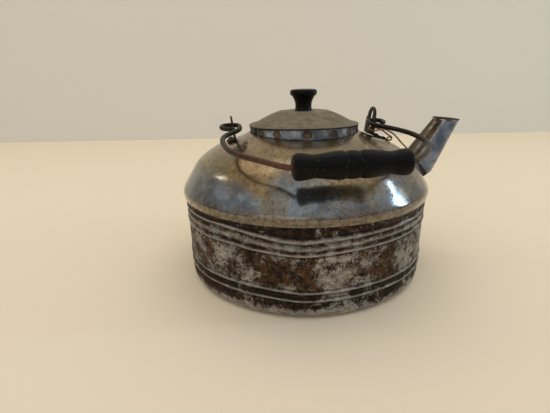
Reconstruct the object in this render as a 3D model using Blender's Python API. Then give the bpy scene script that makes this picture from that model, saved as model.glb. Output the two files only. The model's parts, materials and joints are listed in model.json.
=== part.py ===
"""Stove-top tea kettle: beaded sheet-metal body, domed top, faceted spout, loose lid with a
turned knob, and a wire bail with a turned wooden grip.

Frame: origin on the kettle's axis at the level it stands on, +Z up, +X towards the spout.
The bail is folded down towards -Y. Lengths are in metres; MM turns millimetres into metres.
"""
import math

import bmesh
import bpy
from mathutils import Matrix, Vector

MM = 0.001
GAP = 0.35 * MM                 # clearance between neighbouring pieces
SHEET = 0.8 * MM                # thickness of the tinned sheet
ROUND_STEPS = 40                # facets round the body, collar and lid

# Body wall
WALL_FOOT_RADIUS = 115.2 * MM
WALL_TOP_RADIUS = 116.3 * MM
SEAM_Z = 80.2 * MM              # lower edge of the dome, lapped over the wall
LAP_RADIUS = 115.7 * MM         # outer face of the wall under the lap
LAP_TOP_Z = 85.0 * MM
FOOT_BEND_RADIUS = 8.0 * MM
FOOT_FLANGE_RADIUS = 103.0 * MM
BEAD_HEIGHTS = (19.3 * MM, 27.3 * MM, 61.2 * MM, 66.9 * MM, 72.0 * MM)
BEAD_RISE = 1.0 * MM
BEAD_HALF_WIDTH = 1.6 * MM
BOTTOM_DISH_RADIUS = 101.5 * MM
BOTTOM_PLATE_RADIUS = 107.2 * MM

# Domed top: radius and height of the outer face, from the seam up to the mouth
DOME_OUTLINE = (
    (117.0 * MM, SEAM_Z),
    (118.5 * MM, 84.0 * MM),
    (119.0 * MM, 88.3 * MM),
    (115.8 * MM, 93.4 * MM),
    (111.4 * MM, 100.0 * MM),
    (106.2 * MM, 107.6 * MM),
    (97.8 * MM, 116.0 * MM),
    (86.0 * MM, 123.4 * MM),
    (72.0 * MM, 128.7 * MM),
    (52.6 * MM, 134.0 * MM),
)

# Mouth and lid
COLLAR_RADIUS = 52.2 * MM
COLLAR_TOP_Z = 143.2 * MM
COLLAR_FLANGE_Z = 130.6 * MM
COLLAR_FLANGE_RADIUS = 56.5 * MM
LID_RADIUS = 52.4 * MM
LID_LIP_Z = 144.5 * MM
LID_TOP_RADIUS = 24.0 * MM
LID_TOP_Z = 155.8 * MM
LID_SKIRT_RADIUS = 50.2 * MM
LID_SKIRT_BOTTOM_Z = 129.0 * MM
KNOB_TOP_Z = 175.7 * MM
KNOB_RADIUS = 12.8 * MM
KNOB_NECK_RADIUS = 7.7 * MM
SCREW_RADIUS = 1.6 * MM
SCREW_LENGTH = 10.0 * MM

# Bail: the hinge line runs along X through both ears
HINGE_Z = 144.0 * MM
BAIL_TILT = math.radians(6.8)
BAIL_REACH = 130.0 * MM
BAIL_WIRE_RADIUS = 2.0 * MM
GRIP_CENTRE_X = 6.5 * MM
GRIP_LENGTH = 84.0 * MM
GRIP_BORE_RADIUS = 2.6 * MM

# Ears: folded sheet, an upright slotted lug and a riveted foot
EAR_SHEET = 1.8 * MM
EAR_FOLD_X = 66.8 * MM
EAR_LEAN = math.radians(8.0)    # outward lean of the lugs
EAR_HALF_WIDTH = 12.0 * MM
EAR_ARCH_HALF_WIDTH = 9.5 * MM
EAR_SLOT_HALF_WIDTH = 3.2 * MM
EAR_WALL = 3.4 * MM             # metal above the slot's top
EAR_SLOT_FOOT = 4.0 * MM        # metal below the slot
RIVET_RADIUS = 1.5 * MM
RIVET_HEAD_RADIUS = 3.0 * MM
RIVET_HEAD_HEIGHT = 1.2 * MM
BURR_THICKNESS = 0.8 * MM

# Each ear's foot runs outward down the dome; rivets are (along the foot, across it), dome_sag
# is how far the dome falls away below the flat foot
FRONT_EAR = {
    "fold": (EAR_FOLD_X, 0.0, 132.02 * MM),
    "turn": 0.0,
    "foot_tilt": math.radians(19.3),
    "top_z": 157.3 * MM,
    "foot_length": 23.0 * MM,
    "foot_half_width": 8.0 * MM,
    "toe_depth": 8.0 * MM,
    "rivets": {"inner": (8.0 * MM, 0.0), "outer": (17.0 * MM, 0.0)},
    "dome_sag": 1.2 * MM,
}
BACK_EAR = {
    "fold": (-EAR_FOLD_X, 0.0, 131.6 * MM),
    "turn": math.pi,
    "foot_tilt": math.radians(17.2),
    "top_z": 152.6 * MM,
    "foot_length": 8.4 * MM,
    "foot_half_width": 10.5 * MM,
    "toe_depth": 4.0 * MM,
    "rivets": {"left": (4.2 * MM, -7.2 * MM), "right": (4.2 * MM, 7.2 * MM)},
    "dome_sag": 0.7 * MM,
}

# Spout stations from inside the dome to the opening:
# inner edge (x, z), outer edge (x, z), half width, corner bevel
SPOUT_STATIONS = (
    ((103.0 * MM, 100.5 * MM), (112.0 * MM, 87.2 * MM), 12.6 * MM, 5.0 * MM),
    ((108.4 * MM, 106.2 * MM), (123.6 * MM, 86.6 * MM), 13.8 * MM, 5.0 * MM),
    ((112.5 * MM, 111.3 * MM), (131.4 * MM, 91.6 * MM), 13.3 * MM, 4.8 * MM),
    ((136.0 * MM, 144.1 * MM), (158.2 * MM, 141.8 * MM), 9.3 * MM, 5.6 * MM),
)
SPOUT_RIM_HEIGHT = 1.1 * MM
FLANGE_WIDTH = 5.0 * MM

STEEL = ((0.33, 0.31, 0.27, 1.0), 0.42, 0.9)
DARK_STEEL = ((0.07, 0.055, 0.045, 1.0), 0.6, 0.7)
SOOTY_STEEL = ((0.16, 0.13, 0.10, 1.0), 0.6, 0.6)
RUSTY_WIRE = ((0.30, 0.14, 0.06, 1.0), 0.8, 0.3)
BLACK_WOOD = ((0.018, 0.014, 0.012, 1.0), 0.35, 0.0)


def clear_scene():
    for obj in list(bpy.data.objects):
        bpy.data.objects.remove(obj, do_unlink=True)


def make_material(name, looks):
    colour, roughness, metallic = looks
    material = bpy.data.materials.new(name)
    material.use_nodes = True
    shader = material.node_tree.nodes["Principled BSDF"]
    shader.inputs["Base Color"].default_value = colour
    shader.inputs["Roughness"].default_value = roughness
    shader.inputs["Metallic"].default_value = metallic
    return material


def add_object(name, data, looks, parent=None):
    obj = bpy.data.objects.new(name, data)
    bpy.context.scene.collection.objects.link(obj)
    data.materials.append(make_material(name, looks))
    obj.parent = parent
    return obj


def add_pivot(name, location, rotation=(0.0, 0.0, 0.0)):
    pivot = bpy.data.objects.new(name, None)
    pivot.location = location
    pivot.rotation_euler = rotation
    bpy.context.scene.collection.objects.link(pivot)
    return pivot


def finish_mesh(bm, name):
    bmesh.ops.remove_doubles(bm, verts=bm.verts, dist=0.001 * MM)
    bmesh.ops.recalc_face_normals(bm, faces=bm.faces)
    mesh = bpy.data.meshes.new(name)
    bm.to_mesh(mesh)
    bm.free()
    mesh.shade_smooth()
    mesh.set_sharp_from_angle(angle=math.radians(32))
    return mesh


def smooth_route(points, step):
    """Points about one step apart along a Catmull-Rom curve through the given points."""
    knots = [Vector(point) for point in points]
    knots = [2 * knots[0] - knots[1]] + knots + [2 * knots[-1] - knots[-2]]
    route = [knots[1]]
    for before, start, end, after in zip(knots, knots[1:], knots[2:], knots[3:]):
        count = max(1, round((end - start).length / step))
        for index in range(1, count + 1):
            t = index / count
            bend = (2 * before - 5 * start + 4 * end - after) * t * t
            twist = (3 * start - 3 * end + after - before) * t * t * t
            route.append(0.5 * (2 * start + (end - before) * t + bend + twist))
    return route


def offset_line(points, distance):
    """An open (radius, height) line moved sideways, to the left of its direction."""
    flat = [Vector(point).to_2d() for point in points]
    moved = []
    for index, point in enumerate(flat):
        first = flat[max(index - 1, 0)]
        last = flat[min(index + 1, len(flat) - 1)]
        sides = [(point - first), (last - point)]
        normals = [Vector((-side.y, side.x)).normalized() for side in sides if side.length > 0]
        normal = sum(normals, Vector((0.0, 0.0))).normalized()
        moved.append(point + normal * distance / normal.dot(normals[0]))
    return moved


def lathe_mesh(name, outline, steps=ROUND_STEPS):
    """A closed (radius, height) outline turned round Z."""
    bm = bmesh.new()
    verts = [bm.verts.new((point[0], 0.0, point[1])) for point in outline]
    edges = []
    for start, end in zip(verts, verts[1:] + verts[:1]):
        if start.co.x > 0.0 or end.co.x > 0.0:
            edges.append(bm.edges.new((start, end)))
    bmesh.ops.spin(bm, geom=verts + edges, cent=(0, 0, 0), axis=(0, 0, 1), steps=steps,
                   angle=math.tau, use_merge=True, use_duplicate=False)
    return finish_mesh(bm, name)


def add_lathe(name, outline, looks, steps=ROUND_STEPS, parent=None):
    return add_object(name, lathe_mesh(name, outline, steps), looks, parent)


def arc(centre, radius, start, end, count):
    """Points on an arc in the (radius, height) plane, angles in degrees."""
    angles = [math.radians(start + (end - start) * index / count) for index in range(count + 1)]
    return [(centre[0] + radius * math.cos(a), centre[1] + radius * math.sin(a)) for a in angles]


def add_boolean(target, cutter, operation):
    modifier = target.modifiers.new(operation.lower() + "_" + cutter.name, "BOOLEAN")
    modifier.operation = operation
    modifier.object = cutter
    cutter.hide_render = True
    cutter.display_type = "WIRE"


def add_tube(name, route, radius, looks, parent=None):
    curve = bpy.data.curves.new(name, "CURVE")
    curve.dimensions = "3D"
    curve.bevel_depth = radius
    curve.bevel_resolution = 2
    curve.render_resolution_u = 0
    curve.use_fill_caps = True
    spline = curve.splines.new("POLY")
    spline.points.add(len(route) - 1)
    for point, place in zip(spline.points, route):
        point.co = (*place, 1.0)
    spline.use_smooth = True
    return add_object(name, curve, looks, parent)


def build_bottom():
    lap_z = SHEET + GAP
    outline = [
        (0.0, 0.0),
        (BOTTOM_DISH_RADIUS, 0.0),
        (BOTTOM_DISH_RADIUS + lap_z, lap_z),
        (BOTTOM_PLATE_RADIUS, lap_z),
        (BOTTOM_PLATE_RADIUS, lap_z + SHEET),
        (BOTTOM_DISH_RADIUS + lap_z * 0.6, lap_z + SHEET),
        (BOTTOM_DISH_RADIUS - SHEET * 0.4, SHEET),
        (0.0, SHEET),
    ]
    add_lathe("bottom_plate", outline, SOOTY_STEEL)


def wall_radius(height):
    return WALL_FOOT_RADIUS + (WALL_TOP_RADIUS - WALL_FOOT_RADIUS) * height / SEAM_Z


def build_wall():
    bend_centre = (WALL_FOOT_RADIUS - FOOT_BEND_RADIUS, FOOT_BEND_RADIUS)
    outer = [(FOOT_FLANGE_RADIUS, 0.0)]
    outer += arc(bend_centre, FOOT_BEND_RADIUS, -90, 0, 4)
    for height in BEAD_HEIGHTS:
        for shift, rise in ((-1, 0), (0, 1), (1, 0)):
            z = height + shift * BEAD_HALF_WIDTH
            outer.append((wall_radius(z) + rise * BEAD_RISE, z))
    outer += [(WALL_TOP_RADIUS, SEAM_Z - 2.0 * MM), (LAP_RADIUS, SEAM_Z - GAP), (LAP_RADIUS, LAP_TOP_Z)]
    inner = [(LAP_RADIUS - SHEET, LAP_TOP_Z)]
    inner += arc(bend_centre, FOOT_BEND_RADIUS - SHEET, 0, -90, 3)
    inner.append((FOOT_FLANGE_RADIUS, SHEET))
    add_lathe("body_wall", outer + inner, SOOTY_STEEL)


def spout_ring(station, margin):
    """Eight corners of one spout station, grown by margin on every side."""
    inner, outer, half_width, bevel = station
    low, high = Vector(inner), Vector(outer)
    across = (high - low).normalized()
    low = low - across * margin
    high = high + across * margin
    half_width = half_width + margin
    bevel = bevel + margin * (2 - math.sqrt(2))
    corner_low = low + across * bevel
    corner_high = high - across * bevel
    flat = half_width - bevel
    loop = [(low, flat), (corner_low, half_width), (corner_high, half_width), (high, flat),
            (high, -flat), (corner_high, -half_width), (corner_low, -half_width), (low, -flat)]
    return [Vector((point.x, y, point.y)) for point, y in loop]


def bridge_rings(name, rings, closed_ends):
    """Quads between successive rings; the ends are capped, or joined to each other."""
    bm = bmesh.new()
    loops = [[bm.verts.new(corner) for corner in ring] for ring in rings]
    count = len(loops[0])
    pairs = list(zip(loops, loops[1:]))
    if closed_ends:
        bm.faces.new(loops[0])
        bm.faces.new(reversed(loops[-1]))
    else:
        pairs.append((loops[-1], loops[0]))
    for lower, upper in pairs:
        for index in range(count):
            after = (index + 1) % count
            bm.faces.new((lower[index], lower[after], upper[after], upper[index]))
    return finish_mesh(bm, name)


def add_spout_prism(name, margin, looks):
    """A solid spout, longer than the real one at its foot, used to cut its neighbours."""
    rings = [spout_ring(station, margin) for station in SPOUT_STATIONS]
    return add_object(name, bridge_rings(name, rings, True), looks)


def build_spout():
    outer = [spout_ring(station, 0.0) for station in SPOUT_STATIONS]
    inner = [spout_ring(station, -SHEET) for station in reversed(SPOUT_STATIONS)]
    add_object("spout_tube", bridge_rings("spout_tube", outer + inner, False), STEEL)

    tip = SPOUT_STATIONS[-1]
    base_lift = Vector((0.0, 0.0, GAP))
    top_lift = Vector((0.0, 0.0, GAP + SPOUT_RIM_HEIGHT))
    outside = spout_ring(tip, 0.5 * MM)
    inside = spout_ring(tip, -SHEET)
    rings = [
        [corner + base_lift for corner in outside],
        [corner + top_lift for corner in outside],
        [corner + top_lift for corner in inside],
        [corner + base_lift for corner in inside],
    ]
    add_object("spout_rim", bridge_rings("spout_rim", rings, False), STEEL)


def build_spout_flange():
    band = [point for point in DOME_OUTLINE if point[1] < 120 * MM]
    lower = offset_line(band, -GAP)
    upper = offset_line(band, -GAP - SHEET)
    flange = add_lathe("spout_flange", lower + upper[::-1], STEEL)
    add_boolean(flange, add_spout_prism("flange_limit", FLANGE_WIDTH, STEEL), "INTERSECT")
    add_boolean(flange, add_spout_prism("flange_hole", GAP, STEEL), "DIFFERENCE")


def foot_frame(ear):
    """World matrix of an ear's foot: local X runs away from the fold, local Z is its normal."""
    turn = Matrix.Rotation(ear["turn"], 4, "Z")
    return Matrix.Translation(ear["fold"]) @ turn @ Matrix.Rotation(ear["foot_tilt"], 4, "Y")


def fill_outline(bm, loops):
    """Triangles over a flat outline with holes; loops share vertices that already exist."""
    edges = []
    for loop in loops:
        for start, end in zip(loop, loop[1:] + loop[:1]):
            edge = bm.edges.get((start, end))
            edges.append(edge if edge else bm.edges.new((start, end)))
    bmesh.ops.triangle_fill(bm, use_beauty=True, use_dissolve=False, edges=edges)


def ear_mesh(name, ear):
    """The foot and the upright lug of an ear as a folded sheet, in the foot's own frame."""
    height = (ear["top_z"] - ear["fold"][2]) / math.cos(EAR_LEAN)
    shoulder = height - EAR_ARCH_HALF_WIDTH
    half_width = ear["foot_half_width"]
    fold_up = Matrix.Rotation(EAR_LEAN - ear["foot_tilt"], 3, "Y")
    bm = bmesh.new()

    def lug_vert(y, rise):
        return bm.verts.new(fold_up @ Vector((0.0, y, rise)))

    fold_ends = [lug_vert(side * EAR_HALF_WIDTH, 0.0) for side in (-1, 1)]
    foot_root = [lug_vert(side * half_width, 0.0) for side in (-1, 1)]
    crown = [lug_vert(EAR_HALF_WIDTH, shoulder)]
    for index in range(9):
        angle = math.pi * index / 8
        rise = shoulder + EAR_ARCH_HALF_WIDTH * math.sin(angle)
        crown.append(lug_vert(EAR_ARCH_HALF_WIDTH * math.cos(angle), rise))
    crown.append(lug_vert(-EAR_HALF_WIDTH, shoulder))
    slot = []
    slot_low = EAR_SLOT_FOOT + EAR_SLOT_HALF_WIDTH
    slot_high = height - EAR_WALL - EAR_SLOT_HALF_WIDTH
    for centre, start in ((slot_high, 0.0), (slot_low, math.pi)):
        for index in range(5):
            angle = start + math.pi * index / 4
            rise = centre + EAR_SLOT_HALF_WIDTH * math.sin(angle)
            slot.append(lug_vert(EAR_SLOT_HALF_WIDTH * math.cos(angle), rise))
    fill_outline(bm, [[fold_ends[0], *foot_root, fold_ends[1], *crown], slot])

    toe = []
    for index in range(9):
        angle = math.pi * (0.5 - index / 8)
        x = ear["foot_length"] - ear["toe_depth"] * (1 - math.cos(angle))
        toe.append(bm.verts.new((x, half_width * math.sin(angle), 0.0)))
    holes = []
    bore = RIVET_RADIUS + GAP
    for along, across in ear["rivets"].values():
        angles = [math.tau * index / 12 for index in range(12)]
        ring = [(along + bore * math.cos(a), across + bore * math.sin(a), 0.0) for a in angles]
        holes.append([bm.verts.new(point) for point in ring])
    fill_outline(bm, [[*foot_root, *toe], *holes])
    return finish_mesh(bm, name)


def build_ears():
    for name, ear in (("ear_front", FRONT_EAR), ("ear_back", BACK_EAR)):
        piece = add_object(name, ear_mesh(name, ear), DARK_STEEL)
        piece.matrix_world = foot_frame(ear)
        solid = piece.modifiers.new("sheet", "SOLIDIFY")
        solid.thickness = EAR_SHEET
        solid.offset = 0.0
        solid.use_even_offset = True


def build_rivets(dome):
    """Rivets and their burrs, in the frames of the ears' feet, and their holes in the dome."""
    head_z = EAR_SHEET * 0.5 + GAP
    hole = RIVET_RADIUS + GAP
    for label, ear in (("front", FRONT_EAR), ("back", BACK_EAR)):
        burr_z = -head_z - SHEET - ear["dome_sag"]
        tail_z = burr_z - BURR_THICKNESS - GAP
        for place, (along, across) in ear["rivets"].items():
            spot = foot_frame(ear) @ Matrix.Translation((along, across, 0.0))
            rivet = [
                (0.0, tail_z - RIVET_HEAD_HEIGHT),
                (RIVET_HEAD_RADIUS * 0.6, tail_z - RIVET_HEAD_HEIGHT * 0.8),
                (RIVET_HEAD_RADIUS * 0.8, tail_z),
                (RIVET_RADIUS, tail_z),
                (RIVET_RADIUS, head_z),
                (RIVET_HEAD_RADIUS, head_z),
                (RIVET_HEAD_RADIUS * 0.72, head_z + RIVET_HEAD_HEIGHT * 0.75),
                (0.0, head_z + RIVET_HEAD_HEIGHT),
            ]
            piece = add_lathe(f"rivet_{label}_{place}", rivet, DARK_STEEL, 12)
            piece.matrix_world = spot
            burr = [
                (hole, burr_z - BURR_THICKNESS),
                (RIVET_HEAD_RADIUS * 1.2, burr_z - BURR_THICKNESS),
                (RIVET_HEAD_RADIUS * 1.2, burr_z),
                (hole, burr_z),
            ]
            piece = add_lathe(f"burr_{label}_{place}", burr, STEEL, 12)
            piece.matrix_world = spot
            drill = [(0.0, burr_z), (hole, burr_z), (hole, head_z), (0.0, head_z)]
            cutter = add_lathe(f"drill_{label}_{place}", drill, STEEL, 12)
            cutter.matrix_world = spot
            add_boolean(dome, cutter, "DIFFERENCE")


def build_dome():
    inner = offset_line(DOME_OUTLINE, SHEET)
    dome = add_lathe("dome_shell", [*DOME_OUTLINE, *reversed(inner)], STEEL)
    add_boolean(dome, add_spout_prism("spout_hole", GAP, STEEL), "DIFFERENCE")
    build_rivets(dome)


def build_collar():
    inside = COLLAR_RADIUS - SHEET
    outline = [
        (inside, COLLAR_FLANGE_Z),
        (COLLAR_FLANGE_RADIUS, COLLAR_FLANGE_Z),
        (COLLAR_FLANGE_RADIUS, COLLAR_FLANGE_Z + SHEET),
        (COLLAR_RADIUS, COLLAR_FLANGE_Z + SHEET),
        (COLLAR_RADIUS, COLLAR_TOP_Z),
        (inside, COLLAR_TOP_Z),
    ]
    add_lathe("mouth_collar", outline, STEEL)


def build_lid():
    seat = add_pivot("lid_seat", (0.0, 0.0, COLLAR_TOP_Z))
    drop = -COLLAR_TOP_Z
    top_face = [
        (LID_RADIUS, LID_LIP_Z),
        (LID_RADIUS - 1.6 * MM, LID_LIP_Z + 0.3 * MM),
        (LID_TOP_RADIUS + 1.4 * MM, LID_TOP_Z - 0.7 * MM),
        (LID_TOP_RADIUS - 1.4 * MM, LID_TOP_Z),
        (SCREW_RADIUS + GAP, LID_TOP_Z),
    ]
    under_face = offset_line(top_face, SHEET)
    under_face[0].x = LID_RADIUS
    under_face[-1].x = SCREW_RADIUS + GAP
    cap = [(r, z + drop) for r, z in [*top_face, *under_face[::-1]]]
    add_lathe("lid_cap", cap, STEEL, parent=seat)

    skirt_top = LID_LIP_Z - SHEET - 0.1 * MM
    ring = LID_SKIRT_RADIUS - SHEET
    skirt = [
        (ring, LID_SKIRT_BOTTOM_Z + drop),
        (LID_SKIRT_RADIUS, LID_SKIRT_BOTTOM_Z + drop),
        (LID_SKIRT_RADIUS, skirt_top + drop),
        (ring, skirt_top + drop),
    ]
    add_lathe("lid_skirt", skirt, STEEL, parent=seat)

    knob_foot = LID_TOP_Z + GAP + drop
    knob_top = KNOB_TOP_Z + drop
    bore = SCREW_RADIUS + GAP
    bore_top = knob_foot + SCREW_LENGTH
    knob = [
        (bore, knob_foot),
        (KNOB_NECK_RADIUS + 0.3 * MM, knob_foot),
        (KNOB_NECK_RADIUS, knob_foot + 2.0 * MM),
        (KNOB_NECK_RADIUS + 0.4 * MM, knob_foot + 6.5 * MM),
        (KNOB_NECK_RADIUS + 2.0 * MM, knob_foot + 10.0 * MM),
        (KNOB_RADIUS - 1.2 * MM, knob_top - 6.2 * MM),
        (KNOB_RADIUS, knob_top - 4.6 * MM),
        (KNOB_RADIUS, knob_top - 2.6 * MM),
        (KNOB_RADIUS - 1.6 * MM, knob_top - 1.0 * MM),
        (KNOB_RADIUS * 0.5, knob_top - 0.2 * MM),
        (0.0, knob_top),
        (0.0, bore_top),
        (bore, bore_top),
    ]
    add_lathe("lid_knob", knob, BLACK_WOOD, 24, seat)

    washer_top = LID_TOP_Z - SHEET - GAP + drop
    washer_foot = washer_top - 1.0 * MM
    washer = [(bore, washer_foot), (6.0 * MM, washer_foot), (6.0 * MM, washer_top), (bore, washer_top)]
    add_lathe("knob_washer", washer, DARK_STEEL, 24, seat)

    head_top = washer_foot - GAP
    screw = [
        (0.0, head_top - 2.2 * MM),
        (2.4 * MM, head_top - 1.8 * MM),
        (3.6 * MM, head_top),
        (SCREW_RADIUS, head_top),
        (SCREW_RADIUS, bore_top - 1.0 * MM),
        (0.0, bore_top - 0.4 * MM),
    ]
    add_lathe("knob_screw", screw, DARK_STEEL, 16, seat)


# Bail outline as (distance along the hinge line, distance out from it), from each hook's
# tip, through the ear on the hinge line, and along the arm to the grip
BAIL_BACK_SIDE = (
    (-73.5 * MM, 14.2 * MM),
    (-77.0 * MM, 12.6 * MM),
    (-79.0 * MM, 8.4 * MM),
    (-78.0 * MM, 3.6 * MM),
    (-74.4 * MM, 0.4 * MM),
    (-69.0 * MM, 0.0),
    (-65.4 * MM, 0.6 * MM),
    (-62.8 * MM, 3.8 * MM),
    (-62.2 * MM, 9.0 * MM),
    (-63.2 * MM, 18.0 * MM),
    (-68.0 * MM, 27.5 * MM),
    (-74.5 * MM, 37.0 * MM),
    (-78.6 * MM, 50.0 * MM),
    (-78.2 * MM, 68.0 * MM),
    (-73.6 * MM, 87.0 * MM),
    (-64.0 * MM, 102.0 * MM),
    (-53.0 * MM, 114.0 * MM),
    (-44.0 * MM, 124.0 * MM),
    (-38.0 * MM, 129.0 * MM),
)
BAIL_SPOUT_SIDE = (
    (53.5 * MM, 126.6 * MM),
    (60.0 * MM, 121.0 * MM),
    (69.0 * MM, 111.0 * MM),
    (77.6 * MM, 98.6 * MM),
    (83.2 * MM, 84.0 * MM),
    (84.9 * MM, 68.0 * MM),
    (82.4 * MM, 52.0 * MM),
    (76.8 * MM, 38.0 * MM),
    (69.4 * MM, 27.0 * MM),
    (64.2 * MM, 17.0 * MM),
    (63.0 * MM, 8.4 * MM),
    (63.8 * MM, 3.4 * MM),
    (66.2 * MM, 0.5 * MM),
    (69.6 * MM, 0.0),
    (74.2 * MM, 0.5 * MM),
    (77.2 * MM, 3.8 * MM),
    (77.9 * MM, 8.2 * MM),
    (76.2 * MM, 12.2 * MM),
    (73.6 * MM, 13.8 * MM),
)


def build_bail():
    hinge = add_pivot("bail_hinge", (0.0, 0.0, HINGE_Z), (BAIL_TILT, 0.0, 0.0))
    grip_start = GRIP_CENTRE_X - GRIP_LENGTH * 0.5
    grip_end = GRIP_CENTRE_X + GRIP_LENGTH * 0.5
    straight = (grip_start - 0.5 * MM, GRIP_CENTRE_X, grip_end + 0.5 * MM)
    through_grip = [(along, BAIL_REACH) for along in straight]
    outline = [*BAIL_BACK_SIDE, *through_grip, *BAIL_SPOUT_SIDE]
    route = smooth_route([(along, -out, 0.0) for along, out in outline], 4.4 * MM)
    add_tube("bail_wire", route, BAIL_WIRE_RADIUS, DARK_STEEL, hinge)

    half = GRIP_LENGTH * 0.5
    half_profile = [
        (7.6 * MM, half),
        (9.2 * MM, half - 2.4 * MM),
        (9.4 * MM, half - 5.0 * MM),
        (8.3 * MM, half - 14.0 * MM),
        (9.8 * MM, half - 31.0 * MM),
        (9.4 * MM, half - 36.4 * MM),
        (8.6 * MM, half - 37.4 * MM),
        (9.5 * MM, half - 38.6 * MM),
    ]
    mirrored = [(radius, -along) for radius, along in reversed(half_profile)]
    outside = [*half_profile, *mirrored]
    outline = [(GRIP_BORE_RADIUS, half), *outside, (GRIP_BORE_RADIUS, -half)]
    grip = add_lathe("grip", outline, BLACK_WOOD, 20, hinge)
    grip.location = (GRIP_CENTRE_X, -BAIL_REACH, 0.0)
    grip.rotation_euler = (0.0, math.pi / 2, 0.0)


# Binding wire: a short free end, one turn round the near bar of the spout-side ear under the
# bail, then the long strand out to the spout's root
TIE_ROUTE = (
    (88.0 * MM, -9.0 * MM, 125.6 * MM),
    (84.0 * MM, -8.8 * MM, 131.0 * MM),
    (77.0 * MM, -7.0 * MM, 135.2 * MM),
    (71.4 * MM, -2.6 * MM, 137.2 * MM),
    (68.2 * MM, -0.4 * MM, 137.4 * MM),
    (65.0 * MM, -2.6 * MM, 137.0 * MM),
    (64.8 * MM, -7.4 * MM, 136.4 * MM),
    (65.2 * MM, -12.8 * MM, 136.0 * MM),
    (68.0 * MM, -14.8 * MM, 135.8 * MM),
    (71.8 * MM, -13.4 * MM, 135.8 * MM),
    (78.4 * MM, -10.6 * MM, 136.0 * MM),
    (81.6 * MM, -10.2 * MM, 134.8 * MM),
    (86.9 * MM, -10.0 * MM, 132.2 * MM),
    (92.5 * MM, -9.8 * MM, 127.4 * MM),
    (98.5 * MM, -8.6 * MM, 121.8 * MM),
    (104.8 * MM, -6.4 * MM, 116.6 * MM),
    (108.2 * MM, -5.4 * MM, 113.6 * MM),
    (109.4 * MM, -5.0 * MM, 110.8 * MM),
)
TIE_WIRE_RADIUS = 0.55 * MM


def build_tie_wire():
    add_tube("tie_wire", smooth_route(TIE_ROUTE, 2.6 * MM), TIE_WIRE_RADIUS, RUSTY_WIRE)


def main():
    clear_scene()
    build_bottom()
    build_wall()
    build_dome()
    build_collar()
    build_spout()
    build_spout_flange()
    build_ears()
    build_lid()
    build_bail()
    build_tie_wire()


main()
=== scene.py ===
"""Looks of the stove-top tea kettle: worn tinned sheet metal, a sooty beaded wall, black turned
wood and rusty wire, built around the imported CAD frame. Lengths are in metres."""
import json
import math

import bmesh
import bpy
from mathutils import Matrix, Vector, noise


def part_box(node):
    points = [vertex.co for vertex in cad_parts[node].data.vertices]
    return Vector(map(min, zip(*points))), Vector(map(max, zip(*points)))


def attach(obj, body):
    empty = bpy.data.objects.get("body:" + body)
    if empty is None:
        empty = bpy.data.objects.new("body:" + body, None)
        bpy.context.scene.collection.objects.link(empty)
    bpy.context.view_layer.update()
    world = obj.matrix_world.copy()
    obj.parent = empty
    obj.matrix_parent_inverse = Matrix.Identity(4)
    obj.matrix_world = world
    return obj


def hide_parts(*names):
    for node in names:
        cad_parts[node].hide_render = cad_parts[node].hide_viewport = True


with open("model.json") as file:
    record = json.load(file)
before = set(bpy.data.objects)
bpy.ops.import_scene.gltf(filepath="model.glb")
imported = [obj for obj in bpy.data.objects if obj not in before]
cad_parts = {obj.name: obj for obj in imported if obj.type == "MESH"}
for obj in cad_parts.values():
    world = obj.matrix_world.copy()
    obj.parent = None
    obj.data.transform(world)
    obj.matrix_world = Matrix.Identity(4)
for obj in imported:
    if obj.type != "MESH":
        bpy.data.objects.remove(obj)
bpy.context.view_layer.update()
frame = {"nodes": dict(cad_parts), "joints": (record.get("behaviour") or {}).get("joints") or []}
noise.seed_set(7)               # or noise_vector would differ from run to run

MM = 0.001
SHEET = 0.8 * MM
GAP = 0.3 * MM
STEPS = 288                     # facets round the large turned pieces


def clamp(value):
    return min(1.0, max(0.0, value))


def in_mm(*rows):
    """Rows of numbers in millimetres, as metres."""
    return tuple(tuple(value * MM for value in row) for row in rows)


# ---------------------------------------------------------------- places from the frame
def box_radius(node):
    low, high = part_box(node)
    return (high.x - low.x) / 2


WALL_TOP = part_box("body_wall")[1].z
DOME_LOW, DOME_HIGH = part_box("dome_shell")
COLLAR_LOW, COLLAR_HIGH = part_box("mouth_collar")
CAP_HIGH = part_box("lid_cap")[1]
KNOB_LOW, KNOB_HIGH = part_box("lid_knob")
GRIP_LOW, GRIP_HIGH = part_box("grip")
JOINTS = {joint["name"]: joint for joint in frame["joints"]}
HINGE = Vector(JOINTS["bail_swing"]["pos_m"])
GRIP_CENTRE = Vector(JOINTS["grip_spin"]["pos_m"])
BAIL_OUT = (GRIP_CENTRE - HINGE) * Vector((0.0, 1.0, 1.0))
BAIL_REACH = BAIL_OUT.length
BAIL_TILT = math.atan2(-BAIL_OUT.z, -BAIL_OUT.y)
SEAM_Z = DOME_LOW.z


# ---------------------------------------------------------------- meshes
def smooth_route(points, step):
    """Points about one step apart along a Catmull-Rom curve through the given points."""
    knots = [Vector(point) for point in points]
    knots = [2 * knots[0] - knots[1]] + knots + [2 * knots[-1] - knots[-2]]
    route = [knots[1]]
    for before, start, end, after in zip(knots, knots[1:], knots[2:], knots[3:]):
        count = max(1, round((end - start).length / step))
        for index in range(1, count + 1):
            t = index / count
            bend = (2 * before - 5 * start + 4 * end - after) * t * t
            twist = (3 * start - 3 * end + after - before) * t * t * t
            route.append(0.5 * (2 * start + (end - before) * t + bend + twist))
    return route


def smooth_outline(points, step):
    return [(p.x, p.z) for p in smooth_route([(r, 0.0, z) for r, z in points], step)]


def upward(height):
    return Vector((0.0, 0.0, height))


def outward(point):
    """The level direction away from the kettle's axis."""
    return Vector((point.x, point.y, 0.0)).normalized()


def off_axis(point):
    return math.hypot(point.x, point.y)


def arc(centre, radius, start, end, count):
    """Points on an arc in the (radius, height) plane, angles in degrees."""
    angles = [math.radians(start + (end - start) * index / count) for index in range(count + 1)]
    return [(centre[0] + radius * math.cos(a), centre[1] + radius * math.sin(a)) for a in angles]


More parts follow.
